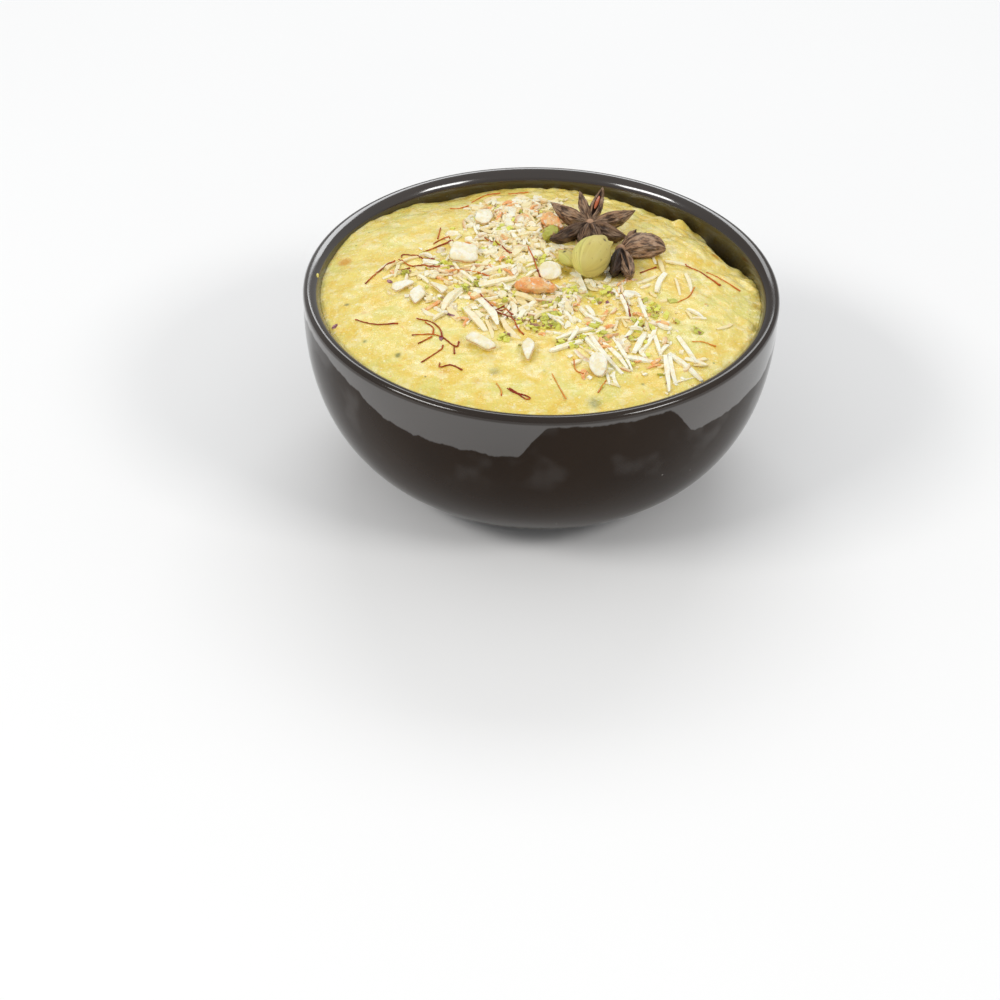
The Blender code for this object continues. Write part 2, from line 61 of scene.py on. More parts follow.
sight = Vector((0, math.cos(CAMERA_ELEVATION), -math.sin(CAMERA_ELEVATION)))
camera = bpy.data.objects.new("camera", bpy.data.cameras.new("camera"))
camera.data.lens = CAMERA_LENS
camera.data.sensor_width = SENSOR_WIDTH
camera.data.clip_start = 0.01
camera.matrix_world = (
    Matrix.Translation(CAMERA_TARGET - sight * CAMERA_DISTANCE)
    @ sight.to_track_quat("-Z", "Y").to_matrix().to_4x4()
    @ Matrix.Rotation(CAMERA_ROLL, 4, "Z")
)
bpy.context.scene.collection.objects.link(camera)
bpy.context.scene.camera = camera
bpy.context.scene.view_settings.view_transform = "Standard"


def soft_box(name, place, width, height, power, colour):
    """A rectangular lamp at place, turned to shine at the dish."""
    lamp = bpy.data.lights.new(name, "AREA")
    lamp.shape = "RECTANGLE"
    lamp.size = width
    lamp.size_y = height
    lamp.energy = power
    lamp.color = colour
    box = bpy.data.objects.new(name, lamp)
    box.location = place
    aim = Vector((0, 0, 50 * MM)) - Vector(place)
    box.rotation_euler = aim.to_track_quat("-Z", "Y").to_euler()
    bpy.context.scene.collection.objects.link(box)


soft_box("key_left", (-1.10, -0.62, 1.10), 0.75, 0.35, 10.0, (1.0, 0.99, 0.97))
soft_box("key_right", (1.05, -0.68, 1.05), 0.55, 0.35, 7.0, (1.0, 0.99, 0.97))
soft_box("back_light", (0.1, 1.3, 1.2), 1.3, 0.5, 8.0, (0.97, 0.985, 1.0))

world = bpy.data.worlds.new("white_room")
bpy.context.scene.world = world
world.use_nodes = True
room = world.node_tree
seen = room.nodes.new("ShaderNodeLightPath")
backdrop = room.nodes["Background"]
backdrop.inputs["Color"].default_value = (0.97, 0.98, 0.99, 1.0)
strength = room.nodes.new("ShaderNodeMapRange")
strength.inputs["To Min"].default_value = ROOM_STRENGTH
room.links.new(seen.outputs["Is Camera Ray"], strength.inputs["Value"])
room.links.new(strength.outputs["Result"], backdrop.inputs["Strength"])


class Value:
    """A number or colour in a finish. Python's arithmetic on it adds Math nodes."""

    def __init__(self, finish, socket):
        self.finish = finish
        self.socket = socket

    def __add__(self, other):
        return self.finish.maths("ADD", self, other)

    def __sub__(self, other):
        return self.finish.maths("SUBTRACT", self, other)

    def __rsub__(self, other):
        return self.finish.maths("SUBTRACT", other, self)

    def __mul__(self, other):
        return self.finish.maths("MULTIPLY", self, other)

    def __lt__(self, other):
        return self.finish.maths("LESS_THAN", self, other)

    __radd__ = __add__
    __rmul__ = __mul__


class Finish:
    """A Principled material; constants are set on its sockets, and what varies is linked."""

    def __init__(self, name, **constants):
        self.material = bpy.data.materials.new(name)
        self.material.use_nodes = True
        self.tree = self.material.node_tree
        self.shader = self.tree.nodes["Principled BSDF"]
        for label, value in constants.items():
            self.put(self.shader.inputs[label.replace("_", " ")], value)
        self.place = self.node("ShaderNodeTexCoord", output="Object")

    def put(self, socket, value):
        if isinstance(value, Value):
            self.tree.links.new(value.socket, socket)
        elif socket.type == "RGBA" and len(value) == 3:
            socket.default_value = (*value, 1.0)
        else:
            socket.default_value = value

    def node(self, kind, settings=None, inputs=None, output=0):
        """Add a node: its settings first, then its sockets' values or links."""
        made = self.tree.nodes.new(kind)
        for label, value in (settings or {}).items():
            setattr(made, label, value)
        for label, value in (inputs or {}).items():
            self.put(made.inputs[label], value)
        return Value(self, made.outputs[output])

    def maths(self, operation, first, second=0.0):
        """A Math node."""
        return self.node("ShaderNodeMath", {"operation": operation}, {0: first, 1: second})

    def noise(self, size, detail=2.0, roughness=0.5, place=None):
        """Cloudy noise whose blotches are about size across."""
        inputs = {"Vector": place or self.place, "Scale": 1 / size, "Detail": detail,
                  "Roughness": roughness}
        return self.node("ShaderNodeTexNoise", {}, inputs)

    def cells(self, size):
        """How far the nearest of many random points is, for points about size apart."""
        return self.node("ShaderNodeTexVoronoi", {}, {"Vector": self.place, "Scale": 1 / size})

    def between(self, value, low, high):
        """0 below low, 1 above high, and eased between them."""
        settings = {"interpolation_type": "SMOOTHSTEP"}
        return self.node("ShaderNodeMapRange", settings,
                         {"Value": value, "From Min": low, "From Max": high})

    def patches(self, low, high, *cloud):
        """Cloudy noise made 0 below low and 1 above high."""
        return self.between(self.noise(*cloud), low, high)

    def mix(self, under, over, share):
        """Colour under with share of colour over."""
        return self.node("ShaderNodeMix", {"data_type": "RGBA"},
                         {0: share, 6: under, 7: over}, output=2)

    def mark(self, name):
        """A number stored on the mesh."""
        return self.node("ShaderNodeAttribute", {"attribute_name": name}, output="Fac")

    def along(self, scale):
        """The piece's own UV map, stretched by scale."""
        unwrap = self.node("ShaderNodeTexCoord", output="UV")
        return self.node("ShaderNodeMapping", {}, {"Vector": unwrap, "Scale": scale})

    def link(self, label, value):
        self.put(self.shader.inputs[label], value)

    def relief(self, height, depth):
        """Feed height to the shader as a bump of this depth."""
        self.link("Normal", self.node("ShaderNodeBump", {}, {"Height": height, "Distance": depth}))


table_finish = Finish("pale_table", Roughness=0.75)
table_finish.link("Base Color", table_finish.mix(
    (0.95, 0.95, 0.95), (0.975, 0.975, 0.975), table_finish.noise(0.25, 3)))
bm = bmesh.new()
bmesh.ops.create_circle(bm, cap_ends=True, segments=96, radius=TABLE_RADIUS)
table_mesh = bpy.data.meshes.new("table")
bm.to_mesh(table_mesh)
bm.free()
table_mesh.materials.append(table_finish.material)
table = bpy.data.objects.new("table", table_mesh)
bpy.context.scene.collection.objects.link(table)

# The bowl. Thrown stoneware with a rounded lip and a low foot ring that is flat on the table,
# under a thick black glaze. Glossier glaze has run down from the lip, farthest at four places:
# on both sides of a gap at the front, and of one at the back.
bowl_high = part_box("bowl")[1]
RIM_RADIUS = bowl_high.x
BOWL_HEIGHT = bowl_high.z
FOOT_RADIUS = 38 * MM
FOOT_WIDTH = 5 * MM
FOOT_HEIGHT = 2.5 * MM
FLOOR_HEIGHT = 8 * MM
LIP_OUTER_ROUND = 1.8 * MM
LIP_INNER_WIDTH = 4.0 * MM
LIP_INNER_DEPTH = 5.0 * MM
OUTER_FULLNESS = 2.58
OUTER_ROUNDNESS = 0.536
INNER_FULLNESS = 4.5
INNER_ROUNDNESS = 0.42
MOUTH_RADIUS = RIM_RADIUS - LIP_OUTER_ROUND - LIP_INNER_WIDTH
BOWL_SPOKES = 192
WALL_RINGS = 40
MERGE_DISTANCE = 0.002 * MM
RUN_LENGTH = 11 * MM
RUN_GAP_BEARING = 0.285
RUN_RAGGEDNESS = 5 * MM
INNER_GLAZE_RADIUS = 75 * MM


def add_piece(name, bm, finish, stands_for=(), sharp=None):
    """Turn a bmesh into a piece of the dish: outward faces, finish, body and slot."""
    bmesh.ops.recalc_face_normals(bm, faces=bm.faces)
    mesh = bpy.data.meshes.new(name)
    bm.to_mesh(mesh)
    bm.free()
    mesh.materials.append(finish.material)
    mesh.shade_smooth()
    if sharp is not None:
        mesh.set_sharp_from_angle(angle=math.radians(sharp))
    piece = bpy.data.objects.new(name, mesh)
    bpy.context.scene.collection.objects.link(piece)
    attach(piece, "root")
    if stands_for:
        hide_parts(*stands_for)


def turn_outline(outline, steps):
    """A bmesh of (radius, z) points spun once round the Z axis, closed at both ends."""
    bm = bmesh.new()
    corners = [bm.verts.new((radius, 0.0, z)) for radius, z in outline]
    lines = [bm.edges.new(pair) for pair in zip(corners, corners[1:])]
    bmesh.ops.spin(bm, geom=corners + lines, cent=(0, 0, 0), axis=(0, 0, 1), dvec=(0, 0, 0),
                   angle=2 * math.pi, steps=steps, use_merge=True, use_duplicate=False)
    bmesh.ops.remove_doubles(bm, verts=bm.verts, dist=MERGE_DISTANCE)
    return bm


def outer_radius(z):
    """Radius of the bowl's outer wall at height z."""
    top = BOWL_HEIGHT - LIP_OUTER_ROUND
    share = min(max((top - z) / (top - FOOT_HEIGHT), 0.0), 1.0)
    return FOOT_RADIUS + (RIM_RADIUS - FOOT_RADIUS) * (1 - share ** OUTER_FULLNESS) ** OUTER_ROUNDNESS


def inner_radius(z):
    """Radius of the bowl's inner wall at height z, with the lip's rounding."""
    start = BOWL_HEIGHT - LIP_INNER_DEPTH
    if z >= start:
        rise = min((z - start) / LIP_INNER_DEPTH, 1.0)
        return MOUTH_RADIUS + LIP_INNER_WIDTH * (1 - math.sqrt(max(1 - rise * rise, 0.0)))
    share = min((start - z) / (start - FLOOR_HEIGHT), 1.0)
    return MOUTH_RADIUS * (1 - share ** INNER_FULLNESS) ** INNER_ROUNDNESS


def quarter_turn(steps):
    """Sine and cosine of even steps through a right angle, without the first."""
    angles = [0.5 * math.pi * step / steps for step in range(1, steps + 1)]
    return [(math.sin(angle), math.cos(angle)) for angle in angles]


def bowl_outline():
    """From the middle of the inside over the lip to the middle of the underside."""
    start = BOWL_HEIGHT - LIP_INNER_DEPTH
    points = []
    for step in range(WALL_RINGS + 1):
        z = FLOOR_HEIGHT + (start - FLOOR_HEIGHT) * (step / WALL_RINGS) ** 1.8
        points.append((inner_radius(z), z))
    for sine, cosine in quarter_turn(14):
        points.append((MOUTH_RADIUS + LIP_INNER_WIDTH * (1 - cosine), start + LIP_INNER_DEPTH * sine))
    for sine, cosine in quarter_turn(10):
        points.append((RIM_RADIUS - LIP_OUTER_ROUND * (1 - sine),
                       BOWL_HEIGHT - LIP_OUTER_ROUND * (1 - cosine)))
    drop = BOWL_HEIGHT - LIP_OUTER_ROUND - FOOT_HEIGHT
    for step in range(1, WALL_RINGS + 1):
        z = BOWL_HEIGHT - LIP_OUTER_ROUND - drop * (1 - (1 - step / WALL_RINGS) ** 1.7)
        points.append((outer_radius(z), z))
    edge = 0.5 * MM
    inner_foot = FOOT_RADIUS - FOOT_WIDTH
    recess = 0.6 * FOOT_HEIGHT
    return points + [
        (FOOT_RADIUS, edge), (FOOT_RADIUS - edge, 0.0), (inner_foot + edge, 0.0),
        (inner_foot, edge), (inner_foot - edge, recess), (0.0, recess),
    ]


glaze = Finish("black_glaze", IOR=1.22, Coat_IOR=1.9, Coat_Roughness=0.12)
pooling = glaze.noise(30 * MM, 2)
body = glaze.mix((0.012, 0.0065, 0.0035), (0.026, 0.015, 0.008), pooling)
dust = (glaze.cells(9 * MM) < 0.035) * glaze.patches(0.5, 0.6, 40 * MM, 1)
glaze.link("Base Color", glaze.mix(body, (0.35, 0.33, 0.30), 0.7 * dust))
smear = glaze.patches(0.45, 0.75, 14 * MM, 4, 0.6)
glaze.link("Roughness", 0.03 + 0.05 * smear + 0.5 * dust)
across, ahead, height = [
    glaze.node("ShaderNodeSeparateXYZ", {}, {0: glaze.place}, output=axis) for axis in range(3)]
bearing = glaze.maths("ARCTAN2", across, 0 - ahead)
from_gap = glaze.maths("ABSOLUTE", glaze.maths("SINE", bearing - RUN_GAP_BEARING))
run_reach = RUN_LENGTH * glaze.between(from_gap, 0.24, 0.38)
run_reach = run_reach * (1 - glaze.between(from_gap, 0.72, 1.05))
upright = glaze.node("ShaderNodeMapping", {}, {"Vector": glaze.place, "Scale": (1.0, 1.0, 0.15)})
run_edge = height + run_reach + RUN_RAGGEDNESS * glaze.noise(9 * MM, 3, 0.6, upright)
runs = glaze.between(run_edge, BOWL_HEIGHT - 1.2 * MM, BOWL_HEIGHT - 0.4 * MM)
inner_wall = glaze.maths("SQRT", across * across + ahead * ahead) < INNER_GLAZE_RADIUS
film = 0.8 * inner_wall * glaze.between(height, BOWL_HEIGHT - 16 * MM, BOWL_HEIGHT - 12 * MM)
wall_gloss = runs * (1 - inner_wall) + film
on_lip = glaze.between(height, BOWL_HEIGHT - 2.4 * MM, BOWL_HEIGHT - 1.8 * MM)
lip_gloss = 0.4 + 0.6 * glaze.between(ahead - 0.5 * across, -30 * MM, 40 * MM)
haze = 0.18 * glaze.patches(0.48, 0.68, 14 * MM, 2)
haze = haze * glaze.between(height, BOWL_HEIGHT - 34 * MM, BOWL_HEIGHT - 22 * MM)
gloss = wall_gloss * (1 - on_lip) + lip_gloss * on_lip
glaze.link("Coat Weight", glaze.maths("MAXIMUM", gloss, haze))
throwing = glaze.noise(22 * MM, 1, 0.4)
glaze.relief(throwing * 0.5 + dust * 0.05, 0.25 * MM)
add_piece("glazed_bowl", turn_outline(bowl_outline(), BOWL_SPOKES), glaze, ["bowl"])

# The halwa. A thick moist paste of garlic, milk and ghee, spooned in to just under the lip and
# heaped in the middle, with a fold at the right back where it has come away from the wall.
HEAP_ABOVE_RIM = 2.0 * MM
SHOULDER_POWER = 4.0
LUMP_SIZE = 9 * MM
LUMP_HEIGHT = 0.55 * MM
BACK_LUMP_HEIGHT = 1.5 * MM
WALL_REACH = 0.15 * MM
BOWL_GAP = 0.3 * MM
TOP_RINGS = 118
SIDE_RINGS = 10
HALWA_SPOKES = 420
EDGE_DEPTHS = [
    (-180, 3.7), (-150, 3.3), (-120, 3.0), (-90, 2.9), (-60, 3.0), (-30, 3.6), (-8, 4.4),
    (8, 5.4), (16, 9.0), (27, 15.0), (36, 11.0), (44, 8.0), (54, 9.0), (66, 7.6),
    (90, 5.8), (104, 6.3), (117, 7.4), (128, 4.8), (150, 3.2), (165, 3.8), (180, 3.7),
]
FOLD_ANGLE = 27.0
FOLD_HALF_WIDTH = 14.0
FOLD_POWER = 9.0
BACK_LUMPS = [(43.0, 49.5, 2.6, 0.9), (48.0, 50.0, 2.2, 1.1), (34.0, 58.0, 2.8, 0.8)]
ORANGE_STAINS = [
    (-65.3, 14.1, 2.4, 1), (58.7, 24.7, 1.6, 1), (60.4, 29, 1.5, 0.9), (-50.2, -1.7, 1, 0.6),
    (-40, -39.5, 2.6, 0.45), (-30, -52, 2.4, 0.5), (-20, -57, 2.6, 0.4), (-57, -19, 1.8, 0.4),
    (16, -52.5, 3, 0.5), (33, -47, 3, 0.4), (49, 3, 2.6, 0.35), (53.3, -11.3, 0.7, 0.9),
    (42.3, -23.6, 1.3, 0.7), (4.1, -46.5, 2.4, 0.35), (0.2, -48.1, 2.2, 0.3), (28.2, -47.8, 2, 0.45),
    (20.6, -53.6, 2, 0.35), (38, -44.7, 1.6, 0.4), (1.5, -32.1, 2.4, 0.3),
]
DARK_STAINS = [
    (-62.9, -13.3, 0.9, 0.9), (-45, -43.2, 1.1, 0.9), (-56, -34.5, 1, 0.7), (-14.6, -52.6, 2.4, 0.55),
    (16.4, -66, 3, 0.55), (31.5, -56, 0.7, 0.8), (0.8, -52.5, 0.8, 0.5),
]


def edge_depth(angle):
    """How far the halwa's edge lies under the rim, at an angle in degrees from +X."""
    for (start, low), (end, high) in zip(EDGE_DEPTHS, EDGE_DEPTHS[1:]):
        if start <= angle <= end:
            share = (angle - start) / (end - start)
            return (low + (high - low) * share * share * (3 - 2 * share)) * MM
    return EDGE_DEPTHS[0][1] * MM


def rough(x, y, z):
    """Smooth random relief, from about -1 to 1."""
    return noise.noise(Vector((x, y, z)))


def halwa_height(x, y):
    """Height of the halwa's top over x, y, before its fine relief."""
    angle = math.degrees(math.atan2(y, x))
    spread = min(math.hypot(x, y) / MOUTH_RADIUS, 1.0)
    from_fold = min(abs(angle - FOLD_ANGLE) / FOLD_HALF_WIDTH, 1.0)
    fold = 0.5 + 0.5 * math.cos(math.pi * from_fold)
    power = SHOULDER_POWER + (FOLD_POWER - SHOULDER_POWER) * fold
    drop = (HEAP_ABOVE_RIM + edge_depth(angle)) * spread ** power
    lump = rough(x / LUMP_SIZE, y / LUMP_SIZE, 0.3)
    return BOWL_HEIGHT + HEAP_ABOVE_RIM - drop + LUMP_HEIGHT * lump * (1 - spread ** 8)


def spot_share(spots, x, y):
    """The strongest share, 0 to 1, that a list of round spots has at x, y."""
    shares = [share * math.exp(-((x / MM - spot_x) ** 2 + (y / MM - spot_y) ** 2) / size ** 2)
              for spot_x, spot_y, size, share in spots]
    return max(shares)


def halwa_relief(x, y, spread):
    """The paste's own roughness: folds from the spoon, dragged ridges at the right back, and
    crags where it breaks at the wall."""
    fold = rough(x / (6.0 * MM), y / (4.0 * MM), 4.0)
    grain = rough(x / (1.7 * MM), y / (1.7 * MM), 9.0)
    crag = rough(x / (3.6 * MM), y / (3.6 * MM), 15.0)
    drag = rough((x - y) / (16.0 * MM), (x + y) / (3.4 * MM), 2.0)
    at_back = min(max((x + 1.3 * y - 22 * MM) / (26 * MM), 0.0), 1.0)
    at_back *= min(max((x + 22 * MM) / (40 * MM), 0.0), 1.0)
    broken = (0.3 + 1.5 * at_back) * spread ** 10
    return (0.28 * fold + 0.07 * grain + 0.45 * drag * at_back + broken * crag) * MM


def layer(bm, name):
    """The numbers that a mesh keeps by this name, one for each vertex."""
    return bm.verts.layers.float.get(name) or bm.verts.layers.float.new(name)


def moist_finish(name, share, tint, depth, **constants):
    """A finish that light sinks into, depth millimetres times tint for each colour."""
    return Finish(name, Subsurface_Weight=share, Subsurface_Radius=tint,
                  Subsurface_Scale=depth * MM, **constants)


base = FLOOR_HEIGHT + BOWL_GAP
level = BOWL_HEIGHT - 4 * MM
reach = inner_radius(level) + WALL_REACH
outline = [(reach * (ring / TOP_RINGS) ** 0.8, level) for ring in range(TOP_RINGS)]
for ring in range(SIDE_RINGS + 1):
    narrowed = reach * (1 - (ring / SIDE_RINGS) ** 6)
    outline.append((narrowed, level - (level - base) * ring / SIDE_RINGS))
bm = turn_outline(outline, HALWA_SPOKES)
orange = layer(bm, "orange")
dark = layer(bm, "dark")
for vertex in bm.verts:
    x, y, z = vertex.co
    radius = max(math.hypot(x, y), 0.001 * MM)
    top_edge = BOWL_HEIGHT - edge_depth(math.degrees(math.atan2(y, x)))
    spread = min(radius / reach, 1.0)
    if z > level - 0.01 * MM:
        stretch = 1 + ((inner_radius(top_edge) + WALL_REACH) / reach - 1) * spread ** 4
        x, y = x * stretch, y * stretch
        height = halwa_height(x, y) + BACK_LUMP_HEIGHT * spot_share(BACK_LUMPS, x, y)
        vertex[orange] = spot_share(ORANGE_STAINS, x, y)
        vertex[dark] = spot_share(DARK_STAINS, x, y)
        vertex.co = (x, y, height + halwa_relief(x, y, spread))
    else:
        new_z = base + (top_edge - base) * (z - base) / (level - base)
        new_radius = inner_radius(new_z) - BOWL_GAP if new_z > base else 0.0
        vertex.co = (x * new_radius / radius, y * new_radius / radius, new_z)
bmesh.ops.remove_doubles(bm, verts=bm.verts, dist=MERGE_DISTANCE)
halwa_top = BVHTree.FromBMesh(bm)

paste = moist_finish("halwa_paste", 0.22, (1.0, 0.75, 0.3), 1.6, IOR=1.42, Coat_Roughness=0.10)
blotch = paste.patches(0.42, 0.62, 8 * MM, 4, 0.6)
cream = paste.patches(0.48, 0.64, 4.6 * MM, 4, 0.62)
green = paste.patches(0.50, 0.66, 12 * MM, 3, 0.6)
grains = paste.between(paste.cells(1.5 * MM), 0.12, 0.40)
colour = paste.mix((0.85, 0.69, 0.175), (0.84, 0.605, 0.105), blotch)
colour = paste.mix(colour, (0.72, 0.68, 0.19), green * 0.7)
colour = paste.mix(colour, (0.95, 0.86, 0.46), cream * 0.6)
colour = paste.mix((0.94, 0.84, 0.40), colour, 0.62 + 0.38 * grains)
flecks = paste.noise(1.9 * MM, 3, 0.6)
colour = paste.mix(colour, (0.82, 0.42, 0.06), 0.6 * paste.between(flecks, 0.64, 0.72))
colour = paste.mix(colour, (0.96, 0.90, 0.66), 0.7 * paste.between(1 - flecks, 0.64, 0.72))
ragged = 0.55 + 0.9 * paste.noise(1.2 * MM, 3, 0.6)
orange_stain = paste.between(paste.mark("orange") * ragged, 0.1, 0.8)
colour = paste.mix(colour, (0.66, 0.31, 0.02), 0.85 * orange_stain)
herb = paste.cells(7.5 * MM) < 0.05
colour = paste.mix(colour, (0.20, 0.22, 0.05), herb * 0.7)
dark_stain = paste.between(paste.mark("dark") * ragged, 0.1, 0.8)
paste.link("Base Color", paste.mix(colour, (0.11, 0.15, 0.045), 0.75 * dark_stain))
wet = paste.patches(0.40, 0.60, 2.4 * MM, 4, 0.6)
paste.link("Roughness", 0.42 - 0.18 * wet)
paste.link("Coat Weight", 0.22 * wet)
crumb_relief = paste.noise(1.6 * MM, 4, 0.55) + grains * 0.22
paste.relief(crumb_relief, 0.30 * MM)
add_piece("halwa_body", bm, paste, ["halwa"])

# The nut slices. Blanched almonds and one cashew, cut one to three millimetres thick with a
# knife and laid on the paste; where a slice keeps its skin, its edge is brown.
SLICE_ROUGHNESS = 0.22
NUT_SLICES = [
    ("cashew_slice", (12.0, 10.4, 2.6, 0.1, 0.2, 4, 20), (-25.6, 11.6, 1.6), (14, 6, 25)),
    ("almond_slice_back", (9.5, 6.6, 1.6, 0.3, 0.3, 5, 0), (-19.5, 37.5, 1.2), (12, 0, 70)),
    ("almond_round_back", (7.6, 7.0, 1.7, 0.1, 0.3, 6, 15), (2.8, 0.6, 2.2), (38, 0, 10)),
    ("almond_slice_curved", (13.0, 4.8, 1.9, 0.1, 0.9, 4, 40), (-19.2, -40.0, 1.0), (18, 0, -40)),
    ("almond_slice_pointed", (12.5, 4.5, 1.7, 0.75, 0.5, 5, 30), (-4.2, -43.2, 0.9), (8, 0, -91)),
    ("almond_round_front", (10.0, 6.0, 1.7, 0.2, 0.3, 7, 0), (17.6, -50.6, 1.6), (20, 14, -80)),
    ("almond_flake_left", (10.8, 5.2, 1.3, 0.2, 0.4, 4, 10), (-40.2, -12.4, 0.9), (10, 0, 80)),
    ("almond_flake_far_left", (9.8, 3.8, 1.2, 0.4, 0.5, 4, 50), (-45.0, -7.0, 0.9), (12, 0, 38)),
    ("almond_flake_middle", (9.2, 5.0, 1.2, 0.3, 0.4, 3, 70), (-33.0, -8.6, 0.9), (-8, 0, -48)),
]


def seat(bm, spot, turn):
    """Turn a piece, in degrees about X, Y and Z, and set it over the halwa at x, y, lift."""
    x, y, lift = spot
    angles = Euler([math.radians(value) for value in turn], "XYZ")
    place = Matrix.Translation((x * MM, y * MM, halwa_height(x * MM, y * MM) + lift * MM))
    bmesh.ops.transform(bm, matrix=place @ angles.to_matrix().to_4x4(), verts=bm.verts)


def ball(bm, around, along, place=Matrix()):
    """Add a ball of radius 1, around by along faces, moved and stretched by place."""
    made = bmesh.ops.create_uvsphere(bm, u_segments=around, v_segments=along, radius=1.0,
                                     matrix=place)
    return made["verts"]


def slice_plate(size, roughness, seed):
    """A slice with a number of cut corners, the first at first_corner degrees, pointed at +X,
    bowed up, and rough by some millimetres."""
    length, width, thick, point, bow, corners, first_corner = size
    bm = bmesh.new()
    rim = layer(bm, "rim")
    for vertex in ball(bm, 40, 22):
        x, y, z = vertex.co
        angle = math.atan2(y, x)
        side = 2 * math.pi / corners
        from_side = (angle - math.radians(first_corner)) % side - side / 2
        cut = min(math.cos(side / 2) / math.cos(from_side) + 0.10, 0.97)
        wave = rough(1.6 * math.cos(angle), 1.6 * math.sin(angle), seed)
        edge = cut + 0.09 * wave
        flat = edge * math.hypot(x, y) ** 0.30
        along = flat * math.cos(angle)
        across = flat * math.sin(angle) * (1 - point * (0.5 + 0.5 * along) ** 2)
        height = math.copysign(abs(z) ** 0.42, z)
        spot = Vector((along * length / 2, across * width / 2, height * thick / 2))
        spot.z += bow * (1 - along * along)
        spot.z += roughness * noise.noise(spot / 1.3 + Vector((seed, 0, 0)))
        vertex[rim] = 1 - abs(height)
        vertex.co = spot * MM
    return bm


almond = moist_finish("almond_flesh", 0.18, (1.0, 0.8, 0.5), 1.2, IOR=1.45)
milky = almond.patches(0.35, 0.6, 3 * MM, 3)
flesh = almond.mix((0.92, 0.83, 0.54), (0.98, 0.94, 0.78), milky)
worn = almond.patches(0.54, 0.70, 1.4 * MM, 4)
flesh = almond.mix(flesh, (0.88, 0.64, 0.30), 0.5 * worn)
skin = almond.between(almond.mark("rim") + 0.9 * almond.noise(2.4 * MM, 3), 1.12, 1.28)
almond.link("Base Color", almond.mix(flesh, (0.66, 0.32, 0.12), 0.8 * skin))
almond.link("Roughness", 0.38 + 0.2 * almond.noise(0.8 * MM, 3))
almond.relief(almond.noise(0.7 * MM, 4, 0.6), 0.18 * MM)
for count, (name, size, spot, turn) in enumerate(NUT_SLICES):
    bm = slice_plate(size, SLICE_ROUGHNESS, 3.7 * count)
    seat(bm, spot, turn)
    add_piece(name + "_cut", bm, almond, [name])

# The dried fruit. Two curled pieces of candied orange-red fruit, chewy, wrinkled and pale in
# patches, dropped on before the finer nuts.
FRUIT_ROUGHNESS = 1.3
FRUIT_PIECES = [
    ("dried_fruit_back", (10.4, 5.8, 2.6, 0.4, 0.9, 5, 0), (3.7, 33.1, 1.6), (22, 0, -48)),
    ("dried_fruit_front", (14.8, 5.6, 2.8, 0.3, 1.5, 5, 20), (-2.0, -8.6, 1.8), (24, 0, -6)),
]
candied = moist_finish("candied_fruit", 0.12, (1.0, 0.4, 0.2), 1.0, IOR=1.45)
ripe = candied.patches(0.4, 0.62, 2.6 * MM, 4)
pale = candied.patches(0.54, 0.66, 1.8 * MM, 4, 0.6)
dark = candied.patches(0.58, 0.7, 1.1 * MM, 3)
flesh = candied.mix((0.98, 0.42, 0.135), (0.99, 0.62, 0.27), ripe)
flesh = candied.mix(flesh, (0.98, 0.84, 0.66), 0.9 * pale)
candied.link("Base Color", candied.mix(flesh, (0.66, 0.16, 0.04), 0.35 * dark))
candied.link("Roughness", 0.30 + 0.25 * candied.noise(1.0 * MM, 3))
candied.relief(candied.noise(1.1 * MM, 4, 0.65), 0.55 * MM)
for count, (name, size, spot, turn) in enumerate(FRUIT_PIECES):
    bm = slice_plate(size, FRUIT_ROUGHNESS, 11.0 + count)
    seat(bm, spot, turn)
    add_piece(name + "_candied", bm, candied, [name])

# The star anise. One whole star and a broken piece of another: woody boat-shaped carpels round
# a small hub, each with a seam along its top that splits in two lips; one holds a glossy seed.
CARPEL_DEPTH = 8.0
SEED_SPLIT = 0.50
ALONG_X = Matrix.Rotation(math.radians(90), 4, "Y")
# Each carpel: heading, length, width, split, roll, point and a share of painted shade; the carpels on
# the front side of the whole star are painted darker as shade.
WHOLE_STAR = [
    (150, 14.8, 4.4, 0.12, 0, 1.0, 0), (105, 13.2, 3.3, 0.12, 0, 1.0, 0),
    (74, 15.6, 4.0, SEED_SPLIT, 0, 1.0, 0), (17, 15.4, 4.7, 0.12, 0, 1.0, 0),
    (-32, 13.8, 4.6, 0.12, 0, 1.0, 0.45), (-72, 10.5, 4.8, 0.12, 0, 1.0, 0.5),
    (-108, 10.5, 4.8, 0.12, 0, 1.0, 0.5), (-145, 16.2, 4.6, 0.20, 0, 1.0, 0.75),
]
# One carpel of the broken star is painted near black all over as shade.
BROKEN_STAR = [
    (12, 14.6, 6.0, 0.10, 116, 0.0, 0), (-80, 16.8, 5.2, 0.30, 10, 0.7, 0),
    (60, 10.0, 2.4, 0.12, 0, 1.0, 0), (-101, 15.8, 4.4, 0.12, 0, 0.8, 1.0),
]


def lay_flat(bm, flat):
    """Give each vertex in flat its place in the UV map."""
    unwrap = bm.loops.layers.uv.verify()
    for vertex, place in flat.items():
        for loop in vertex.link_loops:
            loop[unwrap].uv = place


